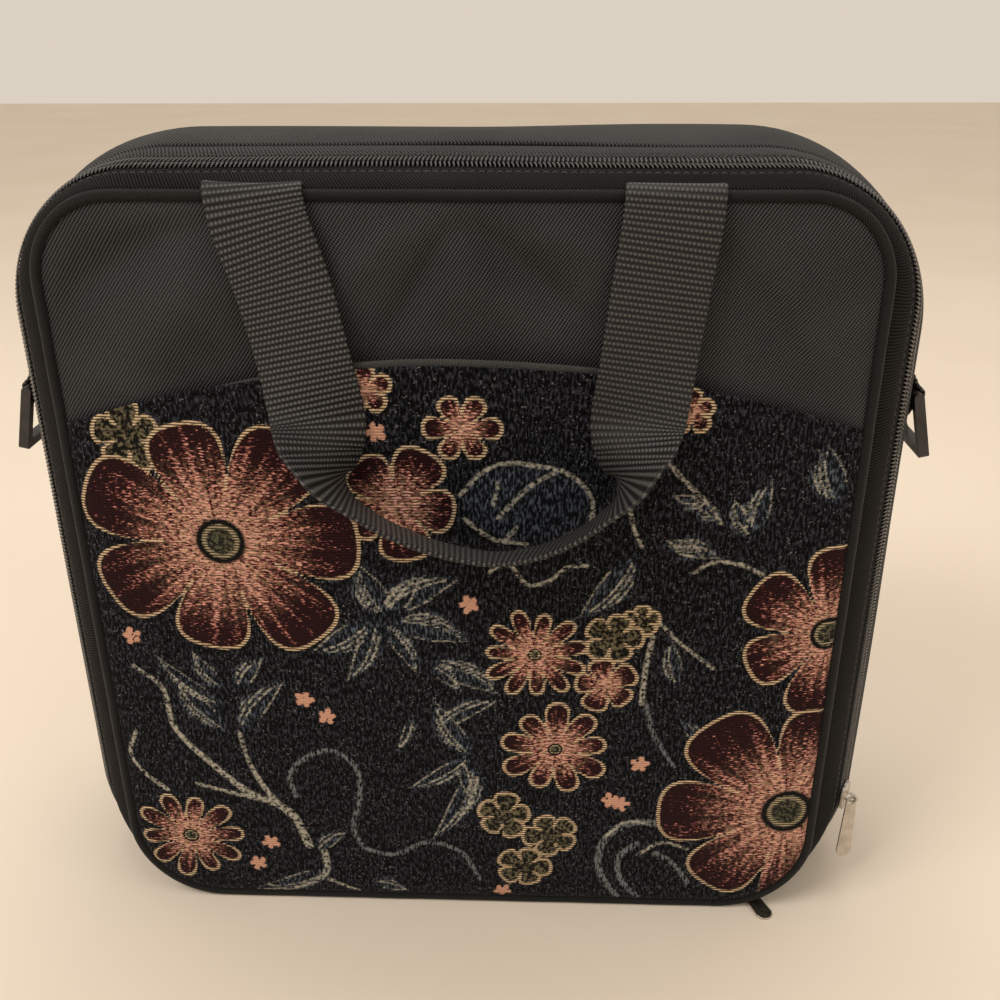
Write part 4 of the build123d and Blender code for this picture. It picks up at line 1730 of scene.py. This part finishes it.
@dataclass
class Studio:
    """Camera, floor and soft light."""

    place: tuple = (31.6, -484.8, 410.2)
    pitch: float = 24.08
    yaw: float = -2.10
    roll: float = -0.21
    lens: float = 38.3
    sensor: float = 36.0
    floor_half: float = 6000.0
    aim: tuple = (0, 0, 0.18)
    air: float = 0.78

    def camera(self) -> None:
        """Puts the camera at the viewpoint: pitch below the horizon, yaw about Z, roll about its axis."""
        pitch, yaw, roll = np.radians([self.pitch, self.yaw, self.roll])
        ahead = Vector((np.sin(yaw) * np.cos(pitch), np.cos(yaw) * np.cos(pitch), -np.sin(pitch)))
        right = Vector((np.cos(yaw), -np.sin(yaw), 0.0))
        up = right.cross(ahead)
        turned_right = right * np.cos(roll) + up * np.sin(roll)
        turned_up = up * np.cos(roll) - right * np.sin(roll)
        view = bpy.data.cameras.new("camera")
        view.lens = self.lens
        view.sensor_width = self.sensor
        view.clip_start = 0.01
        camera = bpy.data.objects.new("camera", view)
        axes = Matrix((turned_right, turned_up, -ahead)).transposed().to_4x4()
        camera.matrix_world = Matrix.Translation(Vector(self.place) * MM) @ axes
        bpy.context.scene.collection.objects.link(camera)
        bpy.context.scene.camera = camera

    def floor(self) -> None:
        """Lays a wide pale floor: one square face."""
        square = np.array([(-1, -1, 0), (1, -1, 0), (1, 1, 0), (-1, 1, 0)]) * self.floor_half
        piece = make_piece("floor", square, [np.arange(4)[None]], FLOOR.material(), closed=False)

    def lights(self) -> None:
        """Hangs a large soft lamp up on the left, a fill on the right and one overhead, in a pale room."""
        for name, place, size, power in (
            ("key_lamp", (-1.2, -1.0, 1.9), 0.9, 22.0),
            ("fill_lamp", (1.5, -1.2, 1.2), 1.2, 5.0),
            ("top_lamp", (0.1, 0.5, 2.0), 1.2, 10.0),
        ):
            lamp = bpy.data.lights.new(name, "AREA")
            lamp.size = size
            lamp.energy = power
            lamp.color = linear("#fffaf5")[:3]
            holder = bpy.data.objects.new(name, lamp)
            holder.location = place
            aim = Vector(self.aim) - Vector(place)
            holder.rotation_euler = aim.to_track_quat("-Z", "Y").to_euler()
            bpy.context.scene.collection.objects.link(holder)
        world = bpy.data.worlds.new("room")
        bpy.context.scene.world = world
        world.use_nodes = True
        tree = world.node_tree
        tree.nodes.clear()
        air = add(tree, "Background", {"Color": linear("#f5e9d9"), "Strength": self.air})
        add(tree, "OutputWorld", {"Surface": air})


def dress_hardware() -> None:
    """Gives the CAD sliders, pulls, rings and board their finishes."""
    for names, finish in (
        (("side_slider", "base_slider", "side_pull", "base_pull"), NICKEL),
        (("ring_left", "ring_right"), ACETAL),
        (("base_board",), BOARD),
    ):
        material = finish.material()
        for name in names:
            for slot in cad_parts[name].material_slots:
                slot.material = material
            LOG.info("%s: %s", name, material.name)


def main() -> None:
    """Builds the pieces from the inside out, then the studio."""
    logging.basicConfig(level=logging.INFO, format="%(message)s")
    bpy.context.scene.view_settings.view_transform = "Standard"
    used = (OXFORD, COVER, RIBBON, SHADED_STRIP_CLOTH, TEETH, THREAD, WEBBING)
    made = {finish: finish.material() for finish in used}
    BottomCloth().build(made[OXFORD])
    for group, finish in ((PANELS, OXFORD), (CORDS, COVER)):
        for piece in group:
            piece.build(made[finish])
    for finish, band in BANDS:
        band.build(made[finish])
    for group, finish in ((CHAINS, TEETH), (STITCHES, THREAD)):
        for piece in group:
            piece.build(made[finish])
    pocket = TapestryPocket()
    pocket.front(TAPESTRY.material())
    pocket.lining(LINING.material())
    Handles().build(made[WEBBING])
    SideTabs().build(made[WEBBING])
    dress_hardware()
    studio = Studio()
    studio.camera()
    studio.floor()
    studio.lights()


if __name__ == "__main__":
    main()
